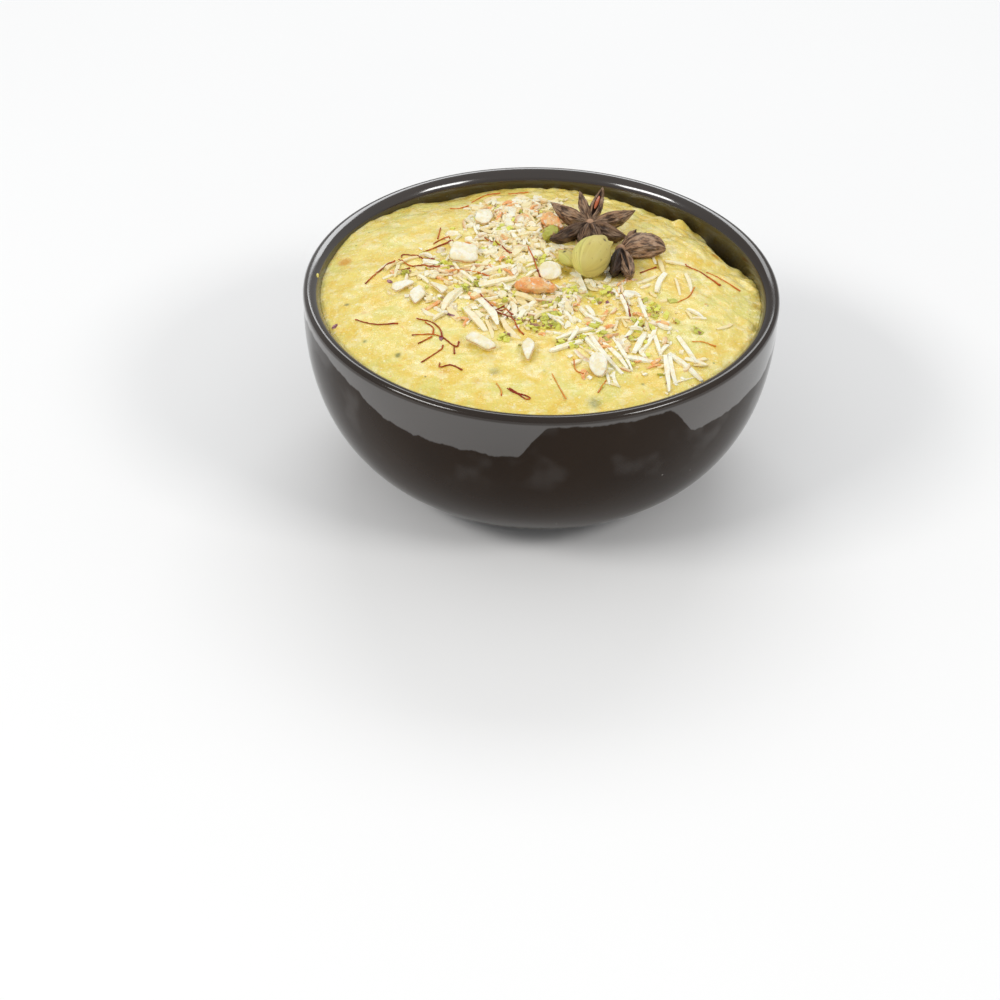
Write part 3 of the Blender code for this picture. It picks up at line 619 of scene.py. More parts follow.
def add_carpel(bm, heading, length, width, split, roll, point, painted_carpel_shade):
    """One carpel: a narrow boat with a roof-like top split by a seam, a keel, a beak where point
    is 1, and woody wrinkles along it; the inside of the split seam is painted dark as shade, and the
    last argument paints shade over the whole carpel."""
    lip = layer(bm, "lip")
    painted_shade = layer(bm, "painted_shade")
    shell = ball(bm, 56, 44, ALONG_X)
    flat = {}
    for vertex in shell:
        share = 0.5 + 0.5 * vertex.co.x
        ring = math.sqrt(max(1 - vertex.co.x ** 2, 1e-9))
        side = max(min(vertex.co.y / ring, 1.0), -1.0)
        rise = max(min(vertex.co.z / ring, 1.0), -1.0)
        swell = max(math.sin(math.pi * share ** 0.9), 0.0)
        across = swell ** (0.45 + 0.45 * point)
        beak = 3.8 * point * max(share - 0.72, 0.0)
        around = math.atan2(rise, side)
        opening = split * min(swell * 1.4, 1.0)
        from_lip = abs(side) - opening
        edge = math.exp(-(from_lip / 0.09) ** 2) if rise > 0 else 0.0
        inner = min(max(-from_lip / 0.12, 0.0), 1.0) if rise > 0 else 0.0
        if rise > 0:
            roof = (1 - abs(side)) if from_lip > 0 else (1 - opening)
            z = 0.33 * CARPEL_DEPTH * swell ** (0.5 + 0.5 * point) * roof + beak + 0.38 * swell * edge
            z -= swell * inner * (0.5 + 2.6 * opening)
        else:
            keel = swell ** (0.35 + 0.40 * point) * (1 - 0.35 * share * point)
            z = 0.85 * CARPEL_DEPTH * keel * rise + beak
        spot = Vector((length * share, 0.5 * width * side * across, z))
        grain = rough(spot.x / 3.4, 3.4 * around, heading)
        fine = rough(spot.x / 1.6, 9.0 * around, heading + 5)
        wrinkle = (0.38 * grain + 0.24 * fine) * min(swell * 3, 1)
        spot.y += wrinkle * side
        spot.z += wrinkle * (rise if rise < 0 else 0.75)
        vertex[lip] = edge
        # Painted shade: near black inside the split seam, and over the carpel by its share of painted
        # shade.
        vertex[painted_shade] = max(inner, painted_carpel_shade)
        flat[vertex] = (length * share * MM, around * 0.5 * width * MM)
        vertex.co = spot * MM
    lay_flat(bm, flat)
    moves = (
        Matrix.Rotation(math.radians(heading), 4, "Z")
        @ Matrix.Translation((0.6 * MM, 0, 0))
        @ Matrix.Translation((0, 0, -0.14 * CARPEL_DEPTH * MM))
        @ Matrix.Rotation(math.radians(roll), 4, "X")
        @ Matrix.Translation((0, 0, 0.14 * CARPEL_DEPTH * MM))
    )
    bmesh.ops.transform(bm, matrix=moves, verts=shell)
    return moves


wood = Finish("anise_wood", IOR=1.42)
streaks = wood.noise(0.75 * MM, 4, 0.65, wood.along((0.20, 1.0, 1.0)))
raised = wood.between(streaks, 0.40, 0.62)
bark = wood.mix((0.055, 0.027, 0.015), (0.415, 0.24, 0.133), raised)
dusty = wood.patches(0.42, 0.60, 3.0 * MM, 3)
bark = wood.mix(bark, (0.52, 0.375, 0.262), 0.6 * dusty * (0.25 + 0.75 * raised))
bark = wood.mix(bark, (0.62, 0.36, 0.21), 0.65 * wood.mark("lip") * (0.4 + 0.6 * raised))
# Painted shade: near black where the seam opens and over the carpels given painted shade.
wood.link("Base Color", wood.mix(bark, (0.014, 0.006, 0.005), 0.85 * wood.mark("painted_shade")))
wood.link("Roughness", 0.40 + 0.25 * streaks)
wood.relief(streaks + 0.4 * wood.noise(0.45 * MM, 3), 0.42 * MM)

seed_coat = Finish("anise_seed", IOR=1.5, Coat_Weight=0.5, Coat_Roughness=0.08)
seed_shade = seed_coat.noise(1.5 * MM, 3)
seed_coat.link("Base Color", seed_coat.mix((0.34, 0.07, 0.025), (0.68, 0.18, 0.06), seed_shade))
seed_coat.link("Roughness", 0.15 + 0.15 * seed_coat.noise(0.8 * MM, 2))
seed_coat.relief(seed_coat.noise(0.9 * MM, 2), 0.1 * MM)

for name, carpels, spot, turn in [
    ("star_anise_whole", WHOLE_STAR, (16.2, 28.6, 5.0), (15, 0, 0)),
    ("star_anise_broken", BROKEN_STAR, (26.2, 13.5, 4.4), (4, 2, 0)),
]:
    bm = bmesh.new()
    for carpel in carpels:
        moves = add_carpel(bm, *carpel)
        if carpel[3] == SEED_SPLIT:
            seeds = bmesh.new()
            rest = Matrix.Translation((0.52 * carpel[1] * MM, 0, 0.75 * MM))
            shape = Matrix.Diagonal((3.2 * MM, 0.65 * MM, 0.8 * MM, 1.0))
            ball(seeds, 24, 16, moves @ rest @ shape)
            seat(seeds, spot, turn)
            add_piece(name + "_seed", seeds, seed_coat)
    sunk = Matrix.Translation((0, 0, -1.9 * MM))
    shape = Matrix.Diagonal((2.0 * MM, 2.0 * MM, 2.6 * MM, 1.0))
    lip = layer(bm, "lip")
    for vertex in ball(bm, 24, 12, sunk @ shape):
        vertex[lip] = 1.3
    seat(bm, spot, turn)
    add_piece(name + "_wood", bm, wood, [name])

# The cardamom. Two green pods, plump three-sided husks with fine ribs from the stalk end to a
# short beak; the large one leans against the stars.
PODS = [
    ("cardamom_pod_large", 17.0, 12.4, (3.4, -3.2, 5.0), (5.0, -4.3, 2.2), (16.5, 4.2, 6.2),
     (0, -9, 66)),
    ("cardamom_pod_small", 9.0, 5.0, (1.0, 0.6, 2.4), (4.6, 0.2, 0.4), (8.4, 8.8, 2.1), (0, 5, 115)),
]
# Angle round the pod where the side that is painted darker as shade begins.
SHADED_SIDE_TURN = 1.3


def pod_husk(length, width, scar, nub):
    """A pod lying along X, with the dark scar marked, the creases between its sides and one of its
    sides marked for painted shade, and a small nub where the stalk broke off."""
    bm = bmesh.new()
    painted_crease_shade, stub, painted_side_shade = [layer(bm, name) for name in ("painted_crease_shade", "scar", "painted_side_shade")]
    flat = {}
    for vertex in ball(bm, 150, 56, ALONG_X):
        along, y, z = vertex.co
        around = math.atan2(z, y)
        from_crease = (3 * around + math.pi) % (2 * math.pi)
        from_crease = min(from_crease, 2 * math.pi - from_crease) / 3
        seam = math.exp(-(from_crease / 0.07) ** 2)
        rib = rough(1.2 * along, 11 * math.cos(around), 11 * math.sin(around))
        dent = rough(2.4 * along, 2 * math.cos(around), 2 * math.sin(around))
        ridge = 1 + 0.06 * math.cos(3 * around) - 0.022 * seam + 0.010 * rib + 0.03 * dent
        slim = (1 - 0.22 * max(along, 0.0) ** 2) * ridge * 0.5 * width
        # The creases between the sides, marked for painted shade.
        vertex[painted_crease_shade] = seam
        flat[vertex] = (0.5 * length * along * MM, around * 0.5 * width * MM)
        reach = 0.5 * length * (along + 0.8 * max(along - 0.8, 0.0))
        spot = Vector((reach, y * slim, z * slim))
        spot *= 1 + 0.20 * math.exp(-((spot - Vector(nub)).length / 0.75) ** 2)
        vertex[stub] = min(2.2 * math.exp(-((spot - Vector(scar)).length / 0.5) ** 2), 1.0)
        # One side of the pod, marked to be painted darker as shade.
        vertex[painted_side_shade] = 0.5 + 0.5 * math.tanh(6 * math.sin(around - SHADED_SIDE_TURN))
        spot *= 1 - 0.05 * vertex[stub]
        vertex.co = spot * MM
    lay_flat(bm, flat)
    return bm


husk = moist_finish("cardamom_husk", 0.1, (0.7, 1.0, 0.2), 1.0, IOR=1.45)
fibres = husk.noise(1.1 * MM, 4, 0.6, husk.along((0.12, 1.0, 1.0)))
green = husk.mix((0.64, 0.56, 0.14), (0.80, 0.73, 0.23), husk.between(fibres, 0.34, 0.64))
green = husk.mix(green, (0.66, 0.64, 0.16), 0.6 * husk.patches(0.42, 0.62, 5 * MM, 2))
# Painted shade: one side of the pod is painted a darker olive.
green = husk.mix(green, (0.62, 0.50, 0.15), 0.75 * husk.mark("painted_side_shade"))
brown = husk.patches(0.64, 0.70, 1.3 * MM, 3)
green = husk.mix(green, (0.30, 0.20, 0.05), 0.5 * brown)
# Painted shade: darker along the creases between the sides.
green = husk.mix(green, (0.34, 0.27, 0.07), 0.35 * husk.mark("painted_crease_shade"))
husk.link("Base Color", husk.mix(green, (0.05, 0.03, 0.015), 0.9 * husk.mark("scar")))
husk.link("Roughness", 0.40 + 0.2 * fibres)
husk.relief(fibres, 0.11 * MM)
for name, length, width, scar, nub, spot, turn in PODS:
    bm = pod_husk(length, width, scar, nub)
    seat(bm, spot, turn)
    add_piece(name + "_husk", bm, husk, [name])

# The pistachio half. Half a green kernel with patches of its dull purple-brown skin, tilted on
# the paste beside the star.
KERNEL_SIZE = (7.2, 4.8, 3.0, 0.0, 0.0, 7, 0)
KERNEL_ROUGHNESS = 0.3
KERNEL_TONE = 0.35
pistachio = moist_finish("pistachio_kernel", 0.15, (0.7, 1.0, 0.3), 0.8, IOR=1.45)
fresh = pistachio.between(pistachio.mark("tone") + 0.5 * pistachio.noise(1.6 * MM, 3), 0.25, 1.25)
papery = pistachio.patches(0.56, 0.64, 2.2 * MM, 3)
kernel = pistachio.mix((0.34, 0.335, 0.05), (0.81, 0.81, 0.15), fresh)
pistachio.link("Base Color", pistachio.mix(kernel, (0.36, 0.17, 0.10), papery))
pistachio.link("Roughness", 0.4 + 0.2 * pistachio.noise(0.7 * MM, 2))
pistachio.relief(pistachio.noise(0.6 * MM, 3), 0.2 * MM)
bm = slice_plate(KERNEL_SIZE, KERNEL_ROUGHNESS, 21.0)
tones = layer(bm, "tone")
for vertex in bm.verts:
    vertex[tones] = KERNEL_TONE
seat(bm, (3.0, 25.6, 1.6), (15, 0, 60))
add_piece("pistachio_half_kernel", bm, pistachio, ["pistachio_half"])

# The chopped topping. Slivered almonds in a loose heap left of the middle and a looser fan at the
# front right, with flakes and crumbs of nut, chopped pistachio, shreds of fruit and a few petals.
# Each piece lies on the paste or on the pieces that were dropped before it.
HEAP_OUTLINE = [
    (-47.5, -8.4), (-46.7, 8.9), (-40.4, 16.2), (-30.6, 22.5), (-26, 41.3), (-21.1, 51.8),
    (-14.2, 53.8), (-3.8, 55.2), (6.5, 54.3), (8, 36), (12, 20), (24, 2), (30, -6), (18.9, -13.6),
    (5.8, -31.6), (-13.2, -32.2), (-19.6, -29.5), (-35.7, -20.8), (-42.4, -14.7),
]
BACK_OUTLINE = [
    (-24, 28), (-23, 47), (-12, 54), (4, 56), (8, 44), (2, 24), (-8, 16),
]
FAN_OUTLINE = [
    (38.3, -12), (47.3, -27.5), (49.4, -51.3), (39.7, -58.3), (30.6, -52.7), (18, -58.7), (13.4, -54.4),
    (1.1, -34.5), (14, -18), (26, -8),
]
LAID_SLIVERS = [
    (10.5, -33, 29, 13, 1.4), (12.7, -33.5, 17, 13, 1.3), (7.5, -40.5, 32, 11.5, 2),
    (10, -34, 68, 7.5, 1.2), (15.5, -38, -58, 10, 2), (20.3, -43.9, -61, 20, 1.7),
    (22.4, -43, -59, 17, 1.6), (25, -42, -71, 19, 1.3), (27.5, -31.5, 62, 18, 1.3),
    (30, -30, 7, 4, 1.6), (31, -36, 71, 12.5, 1.9), (34, -34, 71, 14, 1.5), (36.5, -36, -83, 13, 1.3),
    (31, -45, 178, 11, 2.1), (38.5, -39, 62, 6, 1.3), (39.2, -50.2, -88, 17, 1.7),
    (41, -48, -84, 14, 1.6), (44.9, -46.3, -46, 15, 2.1), (46, -37.5, -66, 14, 1.8),
    (39, -27, -38, 5.5, 1.6), (32.5, -17.5, -78, 10.5, 1.3), (20.5, -55, -81, 5.5, 1.1),
    (23, -55, -77, 6.5, 1.2), (15.5, -20.5, -73, 7, 1.7), (9, -23.5, -65, 8, 1.4),
    (49.5, -17.5, -32, 6, 1.2), (29, -10.5, 49, 6.5, 3.2), (27, -15.5, -62, 6, 1),
    (14.5, -22, -58, 8.5, 1.3), (-29, -15.5, -113, 13.5, 2.8), (-33, -25, -131, 5, 1.5),
    (-28, -23.5, -64, 7.5, 2.8), (-21, -27, -59, 13, 2.3), (-23, -25, 73, 7, 1.7),
    (-17, -22.5, -69, 17, 2.6), (-16.5, -31.5, -78, 10, 1.6), (-9.8, -31, -61, 12.5, 2.2),
    (-9.3, -21.5, -86, 7, 1.9), (-5, -15, -16, 7.5, 2.2), (-5.2, -22, -117, 12.5, 1.7),
    (0.5, -23.5, 44, 7.5, 1.2), (-1, -23, 27, 5.5, 1.1), (4, -32.5, -6, 5.5, 1.2),
    (4.5, -26, -18, 4, 1.1), (-14.5, -4, 26, 13.5, 2.2), (-15, 3.5, 26, 11, 2.2),
    (-13, -8.5, -2, 14, 1), (-13, 22.5, 53, 8, 1.2), (-17, 15.5, 46, 6, 2.2),
    (-7.5, 15.5, 61, 8.5, 2.8), (-7.5, 10.5, 40, 5.5, 1.2), (-7, 4.5, -97, 6, 1.3),
    (-8.7, 5.5, -92, 4.5, 1.2), (-3.3, 2, 48, 4.5, 1.2), (-1.6, -0.5, -80, 6.5, 1.9),
    (-21.5, 49, -46, 8, 2.4), (-19, 40, -20, 7, 3.2), (-14, 51, -19, 8.5, 1.8), (-7, 53, -15, 6.5, 1.8),
    (-49.5, 7, 55, 6, 1.8), (-28, 4.5, -69, 5, 1.2), (-40.5, 0.5, -77, 6, 1.5), (-24, -2, -50, 8, 1.2),
    (-25, -3.5, -53, 8.5, 1), (-38, 12.5, -36, 5, 1.9), (-38.5, -2.5, -49, 5, 1.4),
    (-22, 20, -30, 7, 1.2), (13, -2.5, -80, 11, 1.9), (16.5, -4, -71, 5.5, 1.7),
    (21.2, 0.4, 80, 6.5, 1.9), (23.5, -4, 47, 4, 1.2), (39, -1.5, -106, 12.5, 2),
    (29.5, -8.8, -28, 6, 1.6), (27, -17.4, -77, 12, 1.3), (11, 0.3, -68, 6.5, 1.7),
]
LOOSE_SLIVERS = [
    (-52, 6.5, 55, 8), (-48.5, 1, 20, 7), (-44, 10, 35, 9), (34.3, 0.4, 41, 9), (39.6, 9.8, -82, 8),
    (37.1, 13.2, -75, 5), (44.8, 12.9, 7, 8), (44.5, -2.6, -84, 10), (48.1, -0.3, -83, 11),
    (47.3, -18.2, -69, 5), (50.6, -19.7, 5, 4.5), (58.7, -22.2, 41, 6.5), (33.8, -3.7, 47, 4.5),
    (20.7, 5.2, 63, 6), (18, -2.8, -51, 4.5), (44.5, -52, 34, 8.5),
]
GREEN_SPOTS = [
    (-10.6, -15.2), (1.3, -16.5), (5.9, -15), (-5.6, -26.8), (-2, -29.3), (3.4, -28.5), (5.2, -29),
    (0.7, -25.1), (3.6, -22.7), (-11.1, -36.6), (12.1, -35.2), (9.8, -8.7), (17.9, -11.5), (21.8, -9.5),
    (37.3, -19.6), (35.1, -18), (30.1, -26.7), (33.2, -26.6), (-33.3, 7.1), (-30.2, 7.2), (-24.4, -6.9),
    (-11.5, 9.4), (-0.2, 10.9), (2.9, 8.1), (-22.2, -5.3), (-9.4, -11.8), (-11.9, 31), (-44.7, 1.7),
    (5.8, -38.3), (18.5, -32.2), (28, -34.9), (1.2, 28.2), (10.5, -40.6), (-5.2, -38.7),
]
LONE_GREEN_SPOTS = [(42.3, -11.1), (50.3, -27.7), (33.0, -13.0)]
ORANGE_SPOTS = [
    (13, -53), (20, -30.5), (36, -46.5), (18.4, -37.5), (28, -2.5), (33, -20.5), (-23.1, -13.8),
    (-3.7, -4.6), (-24, -27), (-16.5, -16),
]
LAID_SHREDS = [
    (-34, -17, 46, 9), (-21.5, -11, -18, 4.5), (-18.5, 47, -31, 5), (-13, 41, -35, 4),
    (-14.5, 38.5, 73, 4.5), (-31.5, 2, -34, 4), (-27.5, 1.5, 11, 5), (-33, -2, -25, 5.5),
    (-17, 6, -56, 3), (-12.5, 22.5, -27, 2.5), (-23.5, 20, -31, 5), (-5.5, 38, -60, 5.5),
    (-40.5, -16.5, -43, 15), (20, -22.5, 72, 7), (15, -28, 32, 2), (22.5, -28, -17, 3.5),
    (25, -9, -61, 3), (-4, -36.5, -47, 5), (0, -33.5, -16, 2),
]
PURPLE_SPOTS = [(-28.6, -24.0), (-31.7, -35.6), (-66.1, -24.3), (-49.5, -2.0), (21.4, -14.8)]
CELL = 1.1
MOST_PILED = 2.8
OVERHANG = 3
SEARCH_BORDER = 4
SKY = 200 * MM
LAID_THICKNESS = 0.9
LONE_CHIP_SIZE = 3.2
PETAL_LENGTH = 3.0
pile = {}
rng = random.Random(11)


def tree_of(item):
    """A search tree over the faces of an object's mesh."""
    copy = bmesh.new()
    copy.from_mesh(item.data)
    tree = BVHTree.FromBMesh(copy)
    copy.free()
    return tree


def height_on(tree, x, y):
    """Height in millimetres of the highest face of a tree at x, y, or None."""
    hit = tree.ray_cast(Vector((x * MM, y * MM, SKY)), Vector((0, 0, -1)))[0]
    return hit.z / MM if hit else None


def ground(x, y):
    """Height in millimetres of the paste's real surface at x, y, and of what lies on it."""
    paste_height = height_on(halwa_top, x, y) or halwa_height(x * MM, y * MM) / MM
    return paste_height + pile.get((round(x / CELL), round(y / CELL)), 0.0)


def inside(outline, x, y):
    """True where x, y is inside the outline."""
    odd = False
    for (x1, y1), (x2, y2) in zip(outline, outline[1:] + outline[:1]):
        if (y1 > y) != (y2 > y) and x < (x2 - x1) * (y - y1) / (y2 - y1) + x1:
            odd = not odd
    return odd


def edge_gap(outline, x, y):
    """Distance from x, y to the outline."""
    spot = Vector((x, y, 0))
    gaps = []
    for start, end in zip(outline, outline[1:] + outline[:1]):
        start, end = Vector((*start, 0)), Vector((*end, 0))
        share = min(max(intersect_point_line(spot, start, end)[1], 0.0), 1.0)
        gaps.append((spot - start.lerp(end, share)).length)
    return min(gaps)


def scatter(outline, count, margin):
    """Random spots, ever sparser from margin millimetres inside the outline to OVERHANG
    millimetres outside it."""
    xs = [x for x, y in outline]
    ys = [y for x, y in outline]
    spots = []
    while len(spots) < count:
        x = rng.uniform(min(xs) - SEARCH_BORDER, max(xs) + SEARCH_BORDER)
        y = rng.uniform(min(ys) - SEARCH_BORDER, max(ys) + SEARCH_BORDER)
        gap = edge_gap(outline, x, y)
        gap = gap if inside(outline, x, y) else -gap
        if rng.random() < (gap + OVERHANG) / (margin + OVERHANG):
            spots.append((x, y))
    return spots


def cluster(spots, count, spread):
    """A number of random spots round each of the spots given."""
    return [(rng.gauss(x, spread), rng.gauss(y, spread)) for x, y in spots for index in range(count)]


def drop_piece(joined, piece, x, y, yaw, length, thick, tone, lean=0.15):
    """Lay a small piece on what is there at x, y and join it in; skip it where it would
    cross one of the large toppings."""
    step = 0.4 * length
    cos_yaw, sin_yaw = math.cos(yaw), math.sin(yaw)
    ahead = ground(x + step * cos_yaw, y + step * sin_yaw)
    behind = ground(x - step * cos_yaw, y - step * sin_yaw)
    pitch = math.atan2(ahead - behind, 2 * step)
    height = max((ahead + behind) / 2, ground(x, y)) + rng.uniform(-0.1, 0.45) * thick
    turn = (
        Matrix.Rotation(yaw, 4, "Z")
        @ Matrix.Rotation(-pitch + rng.uniform(-lean, lean), 4, "Y")
        @ Matrix.Rotation(rng.uniform(-2.5 * lean, 2.5 * lean), 4, "X")
    )
    place = Matrix.Translation(Vector((x, y, height)) * MM) @ turn
    bmesh.ops.transform(piece, matrix=place, verts=piece.verts)
    shape = BVHTree.FromBMesh(piece)
    if any(shape.overlap(other) for other in kept_clear):
        piece.free()
        return
    tones = layer(piece, "tone")
    for vertex in piece.verts:
        vertex[tones] = tone
    scrap = bpy.data.meshes.new("scrap")
    piece.to_mesh(scrap)
    piece.free()
    joined.from_mesh(scrap)
    bpy.data.meshes.remove(scrap)
    steps = max(int(length / CELL), 1)
    for index in range(steps + 1):
        along = (index / steps - 0.5) * length
        cell = (round((x + along * cos_yaw) / CELL), round((y + along * sin_yaw) / CELL))
        pile[cell] = min(pile.get(cell, 0.0) + 0.5 * thick, MOST_PILED)


def sliver(length, width, thick, skin):
    """A knife-cut stick of almond, slimmer at one end and slightly bowed and twisted."""
    bm = bmesh.new()
    skins = layer(bm, "skin")
    bmesh.ops.create_cube(bm, size=1.0)
    long_edges = [edge for edge in bm.edges if abs(edge.verts[0].co.x - edge.verts[1].co.x) > 0.5]
    bmesh.ops.subdivide_edges(bm, edges=long_edges, cuts=2)
    taper = rng.uniform(0.15, 0.65)
    bow = rng.uniform(-0.3, 0.7) * thick
    bend = rng.uniform(-0.5, 0.5) * width
    twist = rng.uniform(-0.7, 0.7)
    for vertex in bm.verts:
        x, y, z = vertex.co
        slim = 1 - taper * max(2 * x, 0.0) ** 1.3 - 0.3 * max(-2 * x, 0.0)
        uneven = 1 + rng.uniform(-0.16, 0.16)
        arch = 1 - 4 * x * x
        across = y * width * slim * uneven + bend * arch
        up = z * thick * (0.45 + 0.55 * slim) * uneven + bow * arch
        turn = twist * x
        vertex[skins] = skin if y > 0 else 0.0
        vertex.co = Vector((x * length + rng.uniform(-0.3, 0.3),
                            across * math.cos(turn) - up * math.sin(turn),
                            across * math.sin(turn) + up * math.cos(turn))) * MM
    return bm


def flake(length, width, thick, skin):
    """A thin broken flake of nut."""
    bm = bmesh.new()
    skins = layer(bm, "skin")
    bmesh.ops.create_cone(bm, cap_ends=True, segments=7, radius1=0.5, radius2=0.42, depth=1.0)
    for vertex in bm.verts:
        x, y, z = vertex.co
        curl = 0.8 * (x * x - 0.1) * thick
        vertex[skins] = skin if z < 0 else 0.3 * skin
        vertex.co = Vector((x * length * rng.uniform(0.8, 1.2), y * width * rng.uniform(0.7, 1.2),
                            z * thick + curl)) * MM
    return bm


def chip(size, flatness):
    """A chopped chip: an uneven block with cut faces."""
    bm = bmesh.new()
    layer(bm, "skin")
    bmesh.ops.create_cube(bm, size=1.0)
    lopsided = rng.uniform(-0.5, 0.5)
    for vertex in bm.verts:
        x, y, z = vertex.co
        vertex.co = Vector((x + lopsided * z, y * rng.uniform(0.5, 1.0) + lopsided * x,
                            z * flatness)) * rng.uniform(0.65, 1.2) * size * MM
    return bm


kept_clear = [tree_of(solid) for name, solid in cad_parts.items() if name not in ("bowl", "halwa")]
nut = moist_finish("chopped_nut", 0.18, (1.0, 0.8, 0.5), 0.8, IOR=1.45)
flesh = nut.mix((0.92, 0.77, 0.39), (0.99, 0.96, 0.775), nut.between(nut.mark("tone"), 0.0, 0.7))
flesh = nut.mix(flesh, (0.92, 0.66, 0.30), 0.5 * nut.patches(0.48, 0.66, 1.8 * MM, 3))
nut.link("Base Color", nut.mix(flesh, (0.74, 0.37, 0.15), nut.mark("skin")))
nut.link("Roughness", 0.40 + 0.2 * nut.noise(0.8 * MM, 2))
nut.relief(nut.noise(0.5 * MM, 3), 0.10 * MM)

slivers = bmesh.new()
for outline, count, margin, shortest, longest in [
    (HEAP_OUTLINE, 280, 12.0, 3.5, 10.0), (BACK_OUTLINE, 150, 6.0, 3.0, 8.0),
    (FAN_OUTLINE, 36, 9.0, 4.0, 9.0),
]:
    for x, y in scatter(outline, count, margin):
        length = rng.uniform(shortest, longest) * rng.uniform(0.6, 1.0)
        thick = rng.uniform(0.4, 0.9)
        skin = rng.choice((0.0, 0.0, 0.0, 0.0, 0.0, 0.0, 0.4, 0.8))
        piece = sliver(length, rng.uniform(0.8, 2.0), thick, skin)
        yaw = rng.uniform(0, 2 * math.pi)
        drop_piece(slivers, piece, x, y, yaw, length, thick, rng.uniform(0, 0.8))
for x, y, heading, length in LOOSE_SLIVERS:
    piece = sliver(length, rng.uniform(0.9, 1.5), 0.6, 0.0)
    drop_piece(slivers, piece, x, y, math.radians(heading), length, 0.0, rng.uniform(0.0, 0.5), 0.05)

crumbs = bmesh.new()
spots = scatter(HEAP_OUTLINE, 110, 12.0) + scatter(BACK_OUTLINE, 40, 6.0)
spots += scatter(FAN_OUTLINE, 16, 8.0)
for x, y in spots:
    length = rng.uniform(2.8, 6.0)
    piece = flake(length, length * rng.uniform(0.45, 0.8), 0.6, rng.choice((0.0, 0.0, 0.0, 0.7)))
    drop_piece(crumbs, piece, x, y, rng.uniform(0, 2 * math.pi), length, 0.5, rng.uniform(0, 0.7))
for x, y in scatter(HEAP_OUTLINE, 280, 9.0) + scatter(FAN_OUTLINE, 70, 6.0):
    size = rng.uniform(0.6, 1.8)
    yaw = rng.uniform(0, 2 * math.pi)
    drop_piece(crumbs, chip(size, 0.5), x, y, yaw, size, 0.35 * size, rng.random())
add_piece("nut_crumbs", crumbs, nut, sharp=40)

green_bits = bmesh.new()
spots = cluster(GREEN_SPOTS, 7, 1.3) + scatter(HEAP_OUTLINE, 40, 6.0) + scatter(FAN_OUTLINE, 20, 4.0)
for x, y in spots:
    size = rng.uniform(0.8, 2.2)
    yaw = rng.uniform(0, 2 * math.pi)
    drop_piece(green_bits, chip(size, 0.6), x, y, yaw, size, 0.35 * size, rng.uniform(0.3, 1.2))
for x, y in LONE_GREEN_SPOTS:
    piece = chip(LONE_CHIP_SIZE, 0.35)
    drop_piece(green_bits, piece, x, y, rng.uniform(0, 3), LONE_CHIP_SIZE, 0.3, 0.5)
add_piece("pistachio_bits", green_bits, pistachio, sharp=40)

for x, y, heading, length, width in LAID_SLIVERS:
    piece = sliver(length, width, LAID_THICKNESS, 0.0)
    cream = rng.uniform(0.5, 1.0) if x > 3 else rng.uniform(0.1, 0.6)
    yaw = math.radians(heading)
    drop_piece(slivers, piece, x, y, yaw, length, LAID_THICKNESS, cream, 0.08)
add_piece("almond_slivers", slivers, nut, sharp=40)

orange_bits = bmesh.new()
spots = cluster(ORANGE_SPOTS, 2, 1.2) + scatter(HEAP_OUTLINE, 14, 5.0) + scatter(FAN_OUTLINE, 5, 4.0)
for x, y in spots:
    length = rng.uniform(2.0, 5.5)
    piece = sliver(length, rng.uniform(0.7, 1.5), 0.6, 0.0)
    drop_piece(orange_bits, piece, x, y, rng.uniform(0, 2 * math.pi), length, 0.5, rng.random())
for x, y, heading, length in LAID_SHREDS:
    piece = sliver(length, 1.3, 0.6, 0.0)
    drop_piece(orange_bits, piece, x, y, math.radians(heading), length, 0.5, 0.5, 0.05)
add_piece("dried_fruit_shreds", orange_bits, candied, sharp=40)

petal = Finish("dried_petal", Roughness=0.55, IOR=1.4)
faded = petal.patches(0.4, 0.7, 1.5 * MM, 3)
petal.link("Base Color", petal.mix((0.20, 0.06, 0.09), (0.62, 0.34, 0.36), faded))
petal.relief(petal.noise(0.6 * MM, 3), 0.15 * MM)
petals = bmesh.new()
for x, y in PURPLE_SPOTS:
    piece = flake(PETAL_LENGTH, 1.8, 0.4, 0.0)
    drop_piece(petals, piece, x, y, rng.uniform(0, 3), PETAL_LENGTH, 0.2, 0.5)
add_piece("petal_bits", petals, petal, sharp=40)

# The drop. A little of the paste that splashed on the inner wall at the left as the bowl was
# filled, and stuck there just under the top of the lip.
bm = bmesh.new()
drop_height = BOWL_HEIGHT - 1.2 * MM
drop_place = Vector((-inner_radius(drop_height), 3.5 * MM, drop_height))
drop_shape = Matrix.Diagonal((0.45 * MM, 1.0 * MM, 0.8 * MM, 1.0))
ball(bm, 20, 12, Matrix.Translation(drop_place) @ drop_shape)
add_piece("paste_drop", bm, paste)

